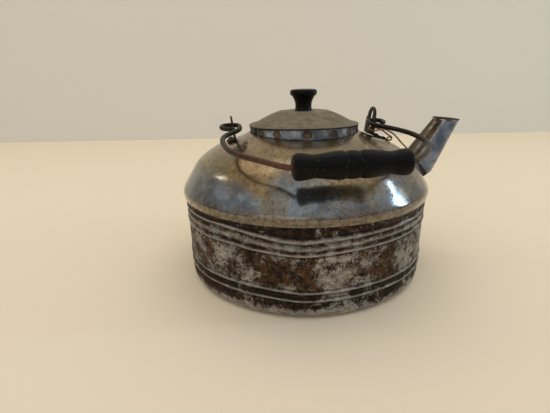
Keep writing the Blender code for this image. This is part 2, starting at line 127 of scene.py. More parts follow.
def offset_outline(points, distance):
    """An open (radius, height) line moved sideways, to the left of its direction."""
    moved = []
    for index, point in enumerate(points):
        first = points[max(index - 1, 0)]
        last = points[min(index + 1, len(points) - 1)]
        along = Vector((last[0] - first[0], last[1] - first[1])).normalized()
        moved.append((point[0] - along.y * distance, point[1] + along.x * distance))
    return moved


def linked(name, data):
    """A new object in the scene."""
    thing = bpy.data.objects.new(name, data)
    bpy.context.scene.collection.objects.link(thing)
    return thing


def baked(thing):
    """What an object looks like with its modifiers applied, as a mesh."""
    graph = bpy.context.evaluated_depsgraph_get()
    return bpy.data.meshes.new_from_object(thing.evaluated_get(graph))


def place(name, data, material, body, slot, replaced=(), sharp=None):
    """Adds one piece, with its material, and ties it to the frame."""
    piece = linked(name, data)
    data.materials.append(material)
    if sharp is not None:
        data.shade_smooth()
        data.set_sharp_from_angle(angle=math.radians(sharp))
    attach(piece, body)
    if replaced:
        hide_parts(*replaced)
    return piece


def mark(mesh, name, values):
    """Stores one number, a list or a function of the position on the vertices, for the material."""
    if callable(values):
        values = [values(vertex.co) for vertex in mesh.vertices]
    elif isinstance(values, float):
        values = [values] * len(mesh.vertices)
    mesh.attributes.new(name, "FLOAT", "POINT").data.foreach_set("value", values)


def finish_mesh(bm, name, bend=None):
    bmesh.ops.remove_doubles(bm, verts=bm.verts, dist=0.0005 * MM)
    bmesh.ops.recalc_face_normals(bm, faces=bm.faces)
    if bend:
        for vertex in bm.verts:
            vertex.co = bend(vertex.co.copy())
    mesh = bpy.data.meshes.new(name)
    bm.to_mesh(mesh)
    bm.free()
    return mesh


def loft(name, rings, bend=None, closed=True):
    """Quads between successive rings of points; closed joins the last ring to the first."""
    bm = bmesh.new()
    loops = [[bm.verts.new(corner) for corner in ring] for ring in rings]
    pairs = list(zip(loops, loops[1:]))
    if closed:
        pairs.append((loops[-1], loops[0]))
    for lower, upper in pairs:
        for index in range(len(lower)):
            after = (index + 1) % len(lower)
            bm.faces.new((lower[index], lower[after], upper[after], upper[index]))
    if not closed:
        bm.faces.new(loops[0])
        bm.faces.new(reversed(loops[-1]))
    return finish_mesh(bm, name, bend)


def lathe(name, outline, steps=STEPS, bend=None):
    """A closed (radius, height) outline turned round Z."""
    angles = [math.tau * index / steps for index in range(steps)]
    rings = [[(r * math.cos(a), r * math.sin(a), z) for r, z in outline] for a in angles]
    return loft(name, rings, bend)


def tube(name, route, radius, sides, wobble):
    """A wire along a route, its thickness and line slightly uneven."""
    curve = bpy.data.curves.new(name, "CURVE")
    curve.dimensions = "3D"
    curve.bevel_depth = radius
    curve.bevel_resolution = sides
    curve.use_fill_caps = True
    spline = curve.splines.new("POLY")
    spline.points.add(len(route) - 1)
    for index, (point, spot) in enumerate(zip(spline.points, route)):
        shift = noise.noise_vector(Vector(spot) * 90.0) * wobble
        point.co = (*(Vector(spot) + shift), 1.0)
        point.radius = 1.0 + 0.045 * noise.noise(Vector(spot) * 260.0)
        if index in (0, len(route) - 1):
            point.radius *= 0.82
    spline.use_smooth = True
    return curve


def bearing(point):
    """Degrees round the kettle from the side the bail rests on, positive towards the spout."""
    return math.degrees(math.atan2(point.x, -point.y))


def bump_at(angle, centre, half_width):
    """1 at a bearing, falling smoothly to 0 half a width away."""
    apart = abs((angle - centre + 180.0) % 360.0 - 180.0) / half_width
    return 0.5 + 0.5 * math.cos(math.pi * apart) if apart < 1.0 else 0.0


# ---------------------------------------------------------------- materials
class Shader:
    """A Principled material and short ways to add the nodes that drive it."""

    def __init__(self, name):
        self.material = bpy.data.materials.new(name)
        self.material.use_nodes = True
        self.tree = self.material.node_tree
        self.principled = self.tree.nodes["Principled BSDF"]
        self.coords = self.tree.nodes.new("ShaderNodeTexCoord").outputs["Object"]

    def feed(self, value, socket):
        if isinstance(value, (int, float, tuple, Vector)):
            socket.default_value = value
        else:
            self.tree.links.new(value, socket)

    def node(self, kind, output, feeds, **settings):
        """One output of a new node, with its settings made and its inputs fed."""
        node = self.tree.nodes.new("ShaderNode" + kind)
        for setting, value in settings.items():
            setattr(node, setting, value)
        for socket, value in feeds.items():
            self.feed(value, node.inputs[socket])
        return node.outputs[output]

    def noise(self, scale, detail=5.0, rough=0.6, coords=None, distortion=0.0):
        return self.node("TexNoise", "Fac", {"Vector": coords or self.coords, "Scale": scale,
                         "Detail": detail, "Roughness": rough, "Distortion": distortion})

    def stretched(self, scale):
        """Object coordinates scaled unevenly, for streaks."""
        return self.node("Mapping", "Vector", {"Vector": self.coords, "Scale": scale})

    def span(self, value, low, high, to_low=0.0, to_high=1.0):
        """A value eased from one range to another."""
        feeds = {"Value": value, "From Min": low, "From Max": high, "To Min": to_low, "To Max": to_high}
        return self.node("MapRange", "Result", feeds, interpolation_type="SMOOTHSTEP")

    def math(self, operation, first, second=0.0):
        return self.node("Math", "Value", {0: first, 1: second}, operation=operation)

    def add(self, first, second):
        return self.math("ADD", first, second)

    def times(self, first, second):
        return self.math("MULTIPLY", first, second)

    def less(self, first, second):
        return self.math("SUBTRACT", first, second)

    def most(self, first, second):
        return self.math("MAXIMUM", first, second)

    def mix(self, factor, first, second):
        return self.node("Mix", "Result", {"Factor": factor, "A": first, "B": second}, data_type="RGBA")

    def blend(self, value, low, high, first, last):
        """From the first colour to the last as a value goes from low to high."""
        return self.mix(self.span(value, low, high), rgb(*first), rgb(*last))

    def stain(self, colour, value, low, high, cover, *shade):
        """A colour covered by another shade, at most this much, where a value is high."""
        return self.mix(self.span(value, low, high, 0.0, cover), colour, rgb(*shade))

    def axis(self, name):
        return self.node("SeparateXYZ", name, {"Vector": self.coords})

    def distance(self, place):
        """Distance of the shaded point from a place on the object."""
        return self.node("VectorMath", "Value", {0: self.coords, 1: place}, operation="DISTANCE")

    def attribute(self, name):
        return self.node("Attribute", "Fac", {}, attribute_name=name)

    def bump(self, height, distance, strength=1.0):
        """Relief on top of any added before."""
        target = self.principled.inputs["Normal"]
        feeds = {"Strength": strength, "Distance": distance, "Height": height}
        if target.is_linked:
            feeds["Normal"] = target.links[0].from_socket
        self.feed(self.node("Bump", "Normal", feeds), target)

    def finish(self, colour, metallic, roughness, others=()):
        """The material, with its colour, shine and other inputs in place."""
        inputs = (("Base Color", colour), ("Metallic", metallic), ("Roughness", roughness), *others)
        for name, value in inputs:
            self.feed(value, self.principled.inputs[name])
        return self.material


PIGMENT = 0.72                  # how much darker every colour is than it looks under the soft light


def rgb(red, green, blue, strength=PIGMENT):
    """A colour given in 0 to 255 display values."""
    def linear(value):
        value /= 255.0
        return strength * (value / 12.92 if value <= 0.04045 else ((value + 0.055) / 1.055) ** 2.4)
    return (linear(red), linear(green), linear(blue), 1.0)


# where rust has run from the burst seam down the dome
RUST_RUN = in_mm((112.5, -15.0, 101.0), (118.4, -17.6, 85.0))
OLD_PATCH = (-83.6 * MM, -22.0 * MM, 122.9 * MM)     # a rusty ring where something was once soldered


def tarnished_tin():
    """The dome: glossy ochre film above, bare tin on the shoulder tinted with a painted bluish reflection,
    rust specks all over.
    """
    s = Shader("tarnished_tin")
    height = s.axis("Z")
    patches = s.noise(26.0)
    mottle = s.noise(300.0, 8.0, 0.75)
    clouds = s.noise(60.0, 7.0, 0.68)
    grit = s.noise(900.0, 4.0, 0.7)
    level = s.add(height, s.span(patches, 0.3, 0.7, -0.018, 0.018))
    level = s.add(level, s.span(mottle, 0.3, 0.7, -0.003, 0.003))
    film = s.span(level, 0.089, 0.113)
    lip = s.add(height, s.span(mottle, 0.3, 0.7, -0.003, 0.003))
    lip = s.add(lip, s.span(clouds, 0.35, 0.65, -0.002, 0.002))
    lip = s.span(lip, 0.093, 0.0845)
    # bare tin on the shoulder; its bluish tint is a painted reflection
    bare = s.blend(clouds, 0.38, 0.62, (98, 112, 124), (156, 168, 176))
    bare = s.stain(bare, mottle, 0.46, 0.62, 0.65, 140, 122, 96)
    ochre = s.blend(clouds, 0.38, 0.62, (142, 118, 80), (192, 166, 122))
    ochre = s.stain(ochre, s.noise(34.0, 5.0, 0.65), 0.42, 0.6, 0.75, 150, 144, 116)
    ochre = s.stain(ochre, mottle, 0.44, 0.62, 0.7, 118, 86, 46)
    colour = s.mix(film, bare, ochre)
    edge = s.blend(mottle, 0.42, 0.58, (100, 84, 60), (172, 154, 124))
    colour = s.mix(s.times(lip, 0.75), colour, edge)
    colour = s.stain(colour, grit, 0.52, 0.7, 0.55, 88, 62, 34)
    low = s.span(height, 0.102, 0.086, 0.0, 0.06)
    specks = s.span(s.add(s.noise(150.0, 4.0, 0.65), low), 0.685, 0.725)
    dots = s.span(s.add(s.noise(430.0, 3.0, 0.6), low), 0.69, 0.74)
    rust = s.most(s.times(specks, 0.9), s.times(dots, 0.75))
    ring = s.math("ABSOLUTE", s.less(s.distance(OLD_PATCH), 4.4 * MM))
    ring = s.times(s.span(ring, 1.1 * MM, 0.3 * MM), s.span(mottle, 0.35, 0.55, 0.2, 0.9))
    colour = s.mix(rust, colour, rgb(62, 34, 18))
    colour = s.mix(ring, colour, rgb(120, 74, 36))
    start, end = Vector(RUST_RUN[0]), Vector(RUST_RUN[1])
    near = s.distance(start)
    for share in (0.2, 0.4, 0.6, 0.8, 1.0):
        reach = s.add(s.distance(start.lerp(end, share)), -1.4 * MM * share)
        near = s.math("MINIMUM", near, reach)
    run = s.span(s.add(near, s.span(mottle, 0.3, 0.7, -0.8 * MM, 0.8 * MM)), 2.6 * MM, 1.4 * MM)
    colour = s.mix(run, colour, s.blend(grit, 0.4, 0.6, (26, 12, 8), (78, 32, 18)))
    marks = s.most(s.most(rust, ring), run)
    shine = s.add(s.span(film, 0.0, 1.0, 0.12, 0.24), s.span(mottle, 0.3, 0.8, -0.02, 0.08))
    s.bump(mottle, 0.04 * MM, 0.5)
    s.bump(marks, 0.12 * MM, 0.6)
    metallic = s.less(0.92, s.times(marks, 0.6))
    roughness = s.add(shine, s.times(marks, 0.35))
    return s.finish(colour, metallic, roughness, (("Coat Weight", 0.35), ("Coat Roughness", 0.12)))


def sooty_metal():
    """The wall: soot and rust in patches over dull metal, a painted highlight along the bead crests, painted
    shade in the grooves and painted shadow under the dome's lip.
    """
    s = Shader("sooty_metal")
    crest, groove, bare_foot, soot_and_lip_shadow, burnt = [s.attribute(name) for name in WALL_MARKS]
    broad = s.noise(30.0, 3.0, 0.6, distortion=0.4)
    ragged = s.noise(120.0, 10.0, 0.74, distortion=0.3)
    speckle = s.noise(560.0, 8.0, 0.78)
    scratch = s.noise(170.0, 6.0, 0.7, s.stretched((1.0, 1.0, 3.2)))
    field = s.add(s.times(broad, 0.4), s.times(ragged, 0.66))
    field = s.add(field, s.times(speckle, 0.54))
    field = s.less(field, s.times(soot_and_lip_shadow, 0.105))
    field = s.less(field, s.times(burnt, 0.075))
    field = s.add(field, s.times(bare_foot, 0.16))
    cover = s.span(field, 0.835, 0.755)
    tone = s.noise(150.0, 9.0, 0.8)
    soot = s.blend(tone, 0.4, 0.6, (22, 14, 9), (92, 66, 44))
    rust = s.blend(speckle, 0.4, 0.65, (64, 36, 16), (146, 106, 62))
    rusting = s.add(s.noise(38.0, 6.0, 0.65), s.times(burnt, 0.1))
    rusting = s.add(rusting, s.times(tone, 0.5))
    soot = s.mix(s.span(rusting, 0.84, 1.0, 0.0, 0.6), soot, rust)
    flecks = s.add(s.noise(260.0, 6.0, 0.75), s.times(broad, 0.25))
    soot = s.stain(soot, flecks, 0.68, 0.76, 0.7, 140, 116, 88)
    # near black where the low soot bands lie, and painted shadow under the dome's overhanging lip
    black = s.times(soot_and_lip_shadow, s.span(tone, 0.45, 0.62, 0.95, 0.55))
    soot = s.mix(black, soot, rgb(22, 14, 9))
    bare = s.blend(scratch, 0.35, 0.65, (136, 130, 122), (206, 200, 192))
    bare = s.stain(bare, s.noise(45.0), 0.42, 0.6, 0.7, 148, 152, 150)
    bare = s.stain(bare, speckle, 0.52, 0.66, 0.85, 84, 64, 46)
    colour = s.mix(cover, bare, soot)
    # painted highlight along the bead crests
    painted_highlight = s.times(crest, s.span(s.add(ragged, speckle), 0.85, 1.25, 1.0, 0.35))
    colour = s.mix(painted_highlight, colour, s.blend(scratch, 0.35, 0.65, (158, 150, 142), (212, 206, 198)))
    # painted shade in the grooves
    dark = s.times(groove, s.span(ragged, 0.35, 0.62, 1.0, 0.55))
    colour = s.mix(dark, colour, rgb(12, 8, 5))
    covered = s.most(s.times(cover, s.less(1.0, painted_highlight)), dark)
    worn = s.span(covered, 0.0, 1.0, 0.4, 0.62)
    s.bump(cover, 0.12 * MM, 0.7)
    s.bump(s.add(ragged, s.times(speckle, 0.6)), 0.22 * MM, 0.6)
    metallic = s.span(covered, 0.0, 1.0, 0.4, 0.05)
    roughness = s.add(worn, s.span(speckle, 0.3, 0.7, -0.06, 0.06))
    return s.finish(colour, metallic, roughness, (("Specular IOR Level", 0.14),))


def lid_tin():
    """The lid: dull grey-brown film with fine turned rings, and a painted highlight along the lip."""
    s = Shader("lid_tin")
    rings = s.attribute("rings")
    mottle = s.noise(160.0, 6.0, 0.65)
    grit = s.noise(900.0, 4.0, 0.6)
    colour = s.blend(mottle, 0.3, 0.7, (100, 89, 66), (150, 138, 112))
    colour = s.stain(colour, grit, 0.52, 0.75, 0.5, 90, 74, 50)
    colour = s.stain(colour, rings, 0.5, 1.0, 0.45, 178, 170, 150)
    blotch = s.span(s.noise(38.0), 0.56, 0.7)
    colour = s.mix(s.times(blotch, 0.55), colour, rgb(96, 82, 56))
    # painted highlight along the lip
    edge = s.attribute("lip")
    colour = s.mix(s.times(edge, 0.6), colour, rgb(160, 152, 134))
    s.bump(rings, 0.05 * MM, 0.8)
    s.bump(grit, 0.06 * MM, 0.5)
    return s.finish(colour, 0.45, s.span(mottle, 0.3, 0.75, 0.46, 0.6))


def collar_tin():
    """The collar: tin whose bright bluish tint is a painted reflection, a rusty patch in every dimple, and
    painted shade in both corners, at its foot and under the lid's rim.
    """
    s = Shader("collar_tin")
    dimple = s.attribute("dimple")
    ragged = s.noise(330.0, 5.0, 0.65)
    clouds = s.noise(70.0, 4.0, 0.6)
    # tin; its bluish tint and bright patches are a painted reflection
    colour = s.blend(clouds, 0.38, 0.62, (104, 116, 132), (176, 192, 210))
    colour = s.stain(colour, ragged, 0.5, 0.7, 0.5, 96, 92, 86)
    stain = s.span(s.add(dimple, s.span(ragged, 0.3, 0.7, -0.25, 0.25)), 0.16, 0.42)
    rust = s.blend(dimple, 0.35, 0.85, (46, 36, 28), (124, 92, 58))
    colour = s.mix(s.times(stain, 0.95), colour, rust)
    murk = s.span(s.noise(24.0, 3.0, 0.6), 0.56, 0.68, 0.0, 0.8)
    colour = s.mix(murk, colour, rgb(58, 44, 32))
    # painted shade at the collar's foot and painted shadow under the lid's rim
    foot = s.attribute("foot")
    colour = s.mix(foot, colour, rgb(18, 13, 10))
    dull = s.most(s.most(stain, foot), murk)
    s.bump(ragged, 0.04 * MM, 0.5)
    return s.finish(colour, s.less(0.95, s.times(dull, 0.6)), s.add(0.22, s.times(dull, 0.33)))


def spout_tin():
    """The spout: olive-brown film on its upper faces, bare tin sides tinted with a painted bluish reflection,
    a painted highlight along the corners, rusty ends.
    """
    s = Shader("spout_tin")
    side, edge, ends, crack = [s.attribute(name) for name in ("side", "edge", "ends", "crack")]
    mottle = s.noise(210.0, 6.0, 0.65)
    streak = s.noise(90.0, 6.0, 0.65, s.stretched((1.0, 4.0, 0.6)))
    grit = s.noise(1000.0, 3.0, 0.6)
    film = s.blend(streak, 0.38, 0.62, (64, 52, 34), (116, 100, 72))
    film = s.stain(film, mottle, 0.52, 0.7, 0.55, 66, 52, 32)
    # bare tin on the sides, tinted bluish as a painted reflection
    bare = s.blend(s.noise(60.0), 0.38, 0.62, (106, 118, 140), (152, 164, 186))
    bare = s.stain(bare, mottle, 0.55, 0.7, 0.6, 100, 88, 72)
    colour = s.mix(side, film, bare)
    colour = s.stain(colour, grit, 0.55, 0.8, 0.4, 66, 48, 30)
    # painted highlight along the spout's corners
    painted_highlight = s.times(edge, s.span(mottle, 0.3, 0.62, 1.0, 0.25))
    colour = s.mix(painted_highlight, colour, rgb(214, 212, 206))
    rot = s.span(s.add(ends, s.span(mottle, 0.3, 0.7, -0.35, 0.35)), 0.38, 0.72)
    specks = s.span(s.noise(260.0, 3.0, 0.6), 0.68, 0.74)
    rot = s.most(rot, s.times(specks, 0.75))
    rust = s.blend(grit, 0.35, 0.65, (50, 26, 14), (104, 64, 38))
    colour = s.mix(rot, colour, rust)
    gap = s.span(s.add(crack, s.span(mottle, 0.3, 0.7, -0.2, 0.2)), 0.35, 0.55)
    colour = s.mix(gap, colour, s.blend(grit, 0.4, 0.6, (22, 8, 6), (84, 28, 16)))
    dull = s.most(rot, gap)
    s.bump(mottle, 0.06 * MM, 0.6)
    s.bump(dull, 0.1 * MM, 0.6)
    metallic = s.less(0.85, s.times(dull, 0.7))
    return s.finish(colour, metallic, s.add(s.span(side, 0.0, 1.0, 0.36, 0.32), s.times(dull, 0.38)))


def dark_wire():
    """The bail: dark oxidised steel, red-brown near the grip."""
    s = Shader("dark_wire")
    red = s.attribute("reddened")
    scale = s.noise(380.0, 6.0, 0.7)
    fine = s.noise(1400.0, 4.0, 0.6)
    steel = s.blend(scale, 0.35, 0.65, (30, 25, 20), (66, 57, 47))
    rust = s.blend(scale, 0.35, 0.65, (60, 28, 14), (118, 62, 34))
    colour = s.mix(red, steel, rust)
    colour = s.stain(colour, fine, 0.6, 0.76, 0.5, 104, 84, 62)
    s.bump(scale, 0.12 * MM, 0.6)
    return s.finish(colour, s.span(red, 0.0, 1.0, 0.75, 0.15), s.span(scale, 0.3, 0.7, 0.34, 0.52))


def ear_steel():
    """Ears and rivets: black-brown oxidised sheet with rust in the corners."""
    s = Shader("ear_steel")
    scale = s.noise(300.0, 7.0, 0.7)
    fine = s.noise(1200.0, 4.0, 0.6)
    colour = s.blend(scale, 0.35, 0.65, (26, 21, 17), (66, 52, 38))
    colour = s.stain(colour, fine, 0.55, 0.72, 0.65, 104, 64, 34)
    s.bump(scale, 0.15 * MM, 0.7)
    return s.finish(colour, 0.6, s.span(scale, 0.3, 0.7, 0.42, 0.62))


def rusty_wire():
    s = Shader("rusty_wire")
    scale = s.noise(520.0, 6.0, 0.7)
    colour = s.blend(scale, 0.35, 0.65, (124, 84, 50), (206, 162, 112))
    s.bump(scale, 0.12 * MM, 0.8)
    return s.finish(colour, 0.15, s.span(scale, 0.3, 0.7, 0.62, 0.8))


def black_wood(name, grain_scale, worn_top=None):
    """Turned wood, stained black: grain along the piece, wear, dust in the scratches."""
    s = Shader(name)
    grain = s.noise(1.0, 5.0, 0.6, s.stretched(grain_scale))
    wear = s.noise(85.0, 6.0, 0.65)
    nicks = s.span(s.noise(520.0, 2.0, 0.5), 0.72, 0.76)
    colour = s.blend(grain, 0.4, 0.65, (4, 4, 5), (13, 11, 11))
    colour = s.stain(colour, wear, 0.55, 0.72, 0.5, 30, 23, 19)
    if worn_top is not None:
        worn = s.span(s.axis("Z"), worn_top - 1.2 * MM, worn_top)
        ragged = s.span(wear, 0.38, 0.6, 0.55, 1.0)
        colour = s.mix(s.times(worn, ragged), colour, rgb(86, 70, 52))
    colour = s.mix(s.times(nicks, 0.7), colour, rgb(150, 138, 124))
    s.bump(grain, 0.08 * MM, 0.7)
    s.bump(nicks, 0.1 * MM, -0.5)
    return s.finish(colour, 0.0, s.span(wear, 0.35, 0.7, 0.3, 0.5), (("Specular IOR Level", 0.12),))


# ---------------------------------------------------------------- body of the kettle
# height, half width, rise and flatness of every bead; height, half width and depth of every groove
BEADS = [(*in_mm(sizes)[0], flatness) for *sizes, flatness in (
    (18.9, 1.05, 0.8, 2), (26.6, 1.1, 0.9, 2), (60.8, 1.3, 0.95, 2), (66.6, 2.1, 0.55, 4),
    (72.4, 1.3, 0.95, 2),
)]
GROOVES = in_mm(
    (16.9, 0.8, 0.4), (21.0, 0.8, 0.4), (24.3, 1.0, 0.5), (28.7, 0.6, 0.35), (58.8, 0.7, 0.45),
    (63.2, 0.95, 0.55), (69.8, 1.0, 0.55), (74.6, 0.9, 0.5),
)
# how far the pressed lines stray from level, at bearings from the front, for three heights
SAG_LOW = ((-180, 0), (-70, 0), (-40, -0.6), (-20, -0.5), (-10, -1.2), (0, -2.5), (6, -2.0), (20, -1.6),
           (45, 0), (180, 0))
SAG_MIDDLE = ((-180, 0), (-75, 0), (-55, -1), (-41, -1.4), (-32, -1.4), (-24, -2.4), (-17, -3.2), (-10, -3.6),
              (-3, -4.4), (0, -4.8), (5, -3.8), (15, -2.2), (30, -1.4), (45, 0), (180, 0))
SAG_HIGH = ((-180, 0), (-75, 0), (-50, 1.6), (-40, 1.6), (-30, 0.6), (-23, -0.6), (-17, -2.2), (-10, -4),
            (-3, -5.2), (0, -5.4), (6, -4), (15, -3), (33, -1.8), (46, -0.2), (60, 0), (180, 0))
SAGS = (SAG_LOW, SAG_MIDDLE, SAG_HIGH)
SOFTEN = (-5.0, -3.0, -1.0, 1.0, 3.0, 5.0)      # degrees over which each sag is averaged
LINES_DIP_AT = 12.0                             # degrees from where the bail rests, away from the spout
DENT_AT = -27.0                                 # degrees from there to the middle of the long dent


def between(table, value):
    """Straight-line look-up in pairs of numbers."""
    for (x0, y0), (x1, y1) in zip(table, table[1:]):
        if value <= x1:
            return y0 + (y1 - y0) * (value - x0) / (x1 - x0)
    return table[-1][1]


def bell(distance, spread, flatness=2):
    return math.exp(-(abs(distance) / spread) ** flatness)


def bead_profile(z):
    rise = sum(bell(z - at, width, flatness) * height for at, width, height, flatness in BEADS)
    return rise - sum(bell(z - at, width) * depth for at, width, depth in GROOVES)


def front_bearing(point):
    """Degrees round the kettle from the front, where the lines dip, positive towards the spout."""
    return (bearing(point) + LINES_DIP_AT + 180.0) % 360.0 - 180.0


def dent_wall(point):
    """Sagging bead lines, a long flat dent left of the front and the small waves of old sheet."""
    angle = front_bearing(point)
    up = clamp(point.z / (14 * MM)) * clamp((SEAM_Z - point.z) / (7 * MM))
    push = 2.4 * MM * bump_at(angle, DENT_AT, 25.0) * min(1.0, max(0.25, point.z / (55 * MM)))
    push += 1.2 * MM * bump_at(angle, 26.0, 22.0)
    push -= 0.8 * MM * max(0.0, 1.0 - abs(angle) / 7.0)
    push += 0.3 * MM * noise.noise(point * 34.0)
    push += 0.12 * MM * noise.noise(point * 110.0)
    sags = [sum(between(table, angle + turn) for turn in SOFTEN) / len(SOFTEN) for table in SAGS]
    heights = ((0.0, 0.0), (26.6, sags[0]), (60.8, sags[1]), (72.4, sags[2]), (SEAM_Z / MM, 0.0),
               (100.0, 0.0))
    sag = between(heights, point.z / MM) * MM
    sag += 0.35 * MM * noise.noise(Vector((point.x, point.y, 0.0)) * 45.0) * up
    return point - outward(point) * push * up + upward(sag)


# mask for the painted highlight along the bead crests
def where_crest(p):
    painted_highlight = sum(bell(p.z - at, width * 0.62, flatness) * (0.5 if flatness > 2 else 1.0)
                 for at, width, height, flatness in BEADS)
    return min(1.0, painted_highlight)


# mask for the painted shade in the grooves
def where_groove(p):
    return min(1.0, sum(bell(p.z - at, width) for at, width, depth in GROOVES))


def where_bare(p):
    patch = 0.45 + 0.55 * bump_at(front_bearing(p), -10.0, 45.0)
    return max(0.0, 1.0 - p.z / (13 * MM)) * patch


# Soot in the two low bands; the top band is painted shadow under the dome's overhanging lip, darkest at the
# front left.
def where_soot_and_shadow(p):
    shade = 0.35 + 0.65 * bump_at(front_bearing(p), -20.0, 50.0)
    top = clamp((p.z - 73 * MM) / (2 * MM)) * (0.3 + 0.7 * shade)
    low = bell(p.z - 13 * MM, 4.5 * MM) * 0.9 + bell(p.z - 22.6 * MM, 2.4 * MM) * 0.8
    return min(1.0, top + low)


def where_burnt(p):
    angle = front_bearing(p)
    front = bell(angle + 11.0, 10.0) * bell(p.z - 46 * MM, 11 * MM)
    return min(1.0, front + 0.7 * bell(angle - 27.0, 8.0) * bell(p.z - 40 * MM, 12 * MM))


WALL_MARKS = {"crest": where_crest, "groove": where_groove, "bare_foot": where_bare,
              "soot_and_lip_shadow": where_soot_and_shadow, "burnt": where_burnt}


def build_wall(material):
    foot_radius = 115.2 * MM
    top_radius = 116.3 * MM
    bend = 8.0 * MM
    outer = [(103.0 * MM, 0.0)]
    outer += arc((foot_radius - bend, bend), bend, -90, 0, 14)
    rise = 0.55 * MM
    count = round((SEAM_Z - 2.5 * MM - bend) / rise)
    for index in range(1, count + 1):
        z = bend + index * rise
        share = z / SEAM_Z
        outer.append((foot_radius + (top_radius - foot_radius) * share + bead_profile(z), z))
    lap = 115.7 * MM
    outer += [(lap + 0.1 * MM, SEAM_Z - 0.9 * MM), (lap, SEAM_Z), (lap, WALL_TOP)]
    inner = [(lap - SHEET, WALL_TOP), (lap - SHEET, SEAM_Z)]
    inner += [(lap - SHEET - 0.6 * MM, SEAM_Z - 2.5 * MM * row) for row in range(1, 28)]
    inner += arc((foot_radius - bend, bend), bend - SHEET, 0, -90, 8)
    inner.append((103.0 * MM, SHEET))
    mesh = lathe("kettle_wall", outer + inner, 360)
    for name, where in WALL_MARKS.items():
        mark(mesh, name, where)
    for vertex in mesh.vertices:
        vertex.co = dent_wall(vertex.co.copy())
    place("kettle_wall", mesh, material, "kettle", "sooty_steel", ["body_wall"], 50)


def build_bottom(material):
    lap_z = SHEET + GAP
    rim = 107.2 * MM
    dish = 101.5 * MM
    outline = [(0.0, 0.0), (40 * MM, 0.0), (dish - MM, 0.0), (dish, 0.1 * MM)]
    outline += [(dish + lap_z, lap_z), (rim, lap_z), (rim, lap_z + SHEET)]
    outline += [(dish + lap_z * 0.5, lap_z + SHEET), (dish - 0.5 * MM, SHEET), (0.0, SHEET)]
    plate = lathe("kettle_bottom", outline, 180)
    for name in WALL_MARKS:
        mark(plate, name, 0.0)
    place("kettle_bottom", plate, material, "kettle", "sooty_steel", ["bottom_plate"], 40)


DOME_OUTLINE = ((117.0 * MM, SEAM_Z), *in_mm(
    (118.8, 83.4), (118.6, 87.4), (116.1, 92.0), (111.4, 99.4), (106.6, 106.9), (103.7, 110.6),
    (97.8, 116.0), (86.0, 123.4), (72.0, 128.7), (52.6, 134.0),
))
# bearings of the rusty dimples round the collar
COLLAR_SPOTS = (-59, -38, -8, 18, 40, 63, 89, 112, 138, 161, 186, 210, 235, 259, 280)
# how far the lid lies below a straight cone: radius, drop all round, further drop towards the ears
LID_SINK = ((0, 0, 0), (28, 0, 0), (33, 0.2, 0.1), (38, 0.5, 0.3), (43, 0.8, 0.6), (49, 0.9, 0.8),
            (52.5, 0, 1.2))


def sink(point, radius=52.4 * MM):
    """Drop of the lid and of the mouth's rim at a radius."""
    all_round = between([(r, first) for r, first, second in LID_SINK], radius / MM)
    sideways = between([(r, second) for r, first, second in LID_SINK], radius / MM)
    return (all_round + sideways * sway(point)) * MM


def sway(point):
    """0 at the front and back, 1 at the two ears."""
    return math.sin(math.radians(bearing(point))) ** 2


def saddle(point):
    """How far the dome is pulled up round the mouth, towards the ears."""
    reach = (67.0 * MM - off_axis(point)) / (13.5 * MM)
    return 2.4 * MM * clamp(reach) ** 1.2 * sway(point)


def dent_dome(point):
    """Waves left by hammering and handling, strongest on the shoulder towards the spout."""
    angle = bearing(point)
    rise = clamp((point.z - SEAM_Z) / (8 * MM))
    push = 0.22 * MM * noise.noise(point * 24.0)
    push += 0.07 * MM * noise.noise(point * 70.0)
    shoulder = bell(point.z - 92 * MM, 10 * MM)
    push += 0.34 * MM * shoulder * bump_at(angle, 32.0, 26.0) * noise.noise(point * 60.0)
    push += 0.4 * MM * shoulder * bump_at(angle, 2.0, 12.0)
    return point - (outward(point) * 0.8 + upward(0.6)) * push * rise + upward(saddle(point))


# edge towards the kettle (x, z), outer edge (x, z), half width and cut of the corners, foot to opening
SPOUT_STATIONS = in_mm(
    (103.0, 100.5, 112.0, 87.2, 12.6, 5.0),
    (108.4, 106.2, 123.6, 86.6, 13.8, 5.0),
    (112.5, 111.3, 131.4, 91.6, 13.3, 4.8),
    (136.0, 144.1, 158.2, 141.8, 9.3, 5.6),
)
OUTER_CUT = 0.35                # the outer corners are cut less than those towards the kettle


def spout_ring(station, margin):
    """Eight corners of one spout station, grown by margin on every side."""
    inner, outer = Vector(station[:2]), Vector(station[2:4])
    across = (outer - inner).normalized()
    inner = inner - across * margin
    outer = outer + across * margin
    half_width = station[4] + margin
    bevel = station[5] + margin * (2 - math.sqrt(2))
    corner_in = inner + across * bevel
    corner_out = outer - across * bevel * OUTER_CUT
    flat = half_width - bevel
    wide = half_width - bevel * OUTER_CUT
    loop = [(inner, flat), (corner_in, half_width), (corner_out, half_width), (outer, wide),
            (outer, -wide), (corner_out, -half_width), (corner_in, -half_width), (inner, -flat)]
    return [Vector((point.x, y, point.y)) for point, y in loop]


def cut(target, cutter):
    """Takes the shape of one mesh object out of another, and removes the cutter."""
    modifier = target.modifiers.new(cutter.name, "BOOLEAN")
    modifier.operation = "DIFFERENCE"
    modifier.object = cutter
    mesh = baked(target)
    target.modifiers.clear()
    target.data = mesh
    bpy.data.objects.remove(cutter)


def build_dome():
    outer = smooth_outline(DOME_OUTLINE, 1.6 * MM)
    outer = [(118.0 * MM, SEAM_Z - 0.15 * MM), (117.7 * MM, SEAM_Z + 0.9 * MM)] + outer[1:]
    inner = offset_outline(outer, SHEET)
    inner[0] = (117.0 * MM, SEAM_Z - 0.25 * MM)
    mesh = lathe("kettle_dome", outer + inner[::-1], STEPS, dent_dome)
    dome = place("kettle_dome", mesh, tarnished_tin(), "kettle", "tinned_steel", ["dome_shell"], 60)
    prism = [spout_ring(station, GAP) for station in SPOUT_STATIONS]
    cut(dome, linked("spout_hole", loft("spout_hole", prism, closed=False)))


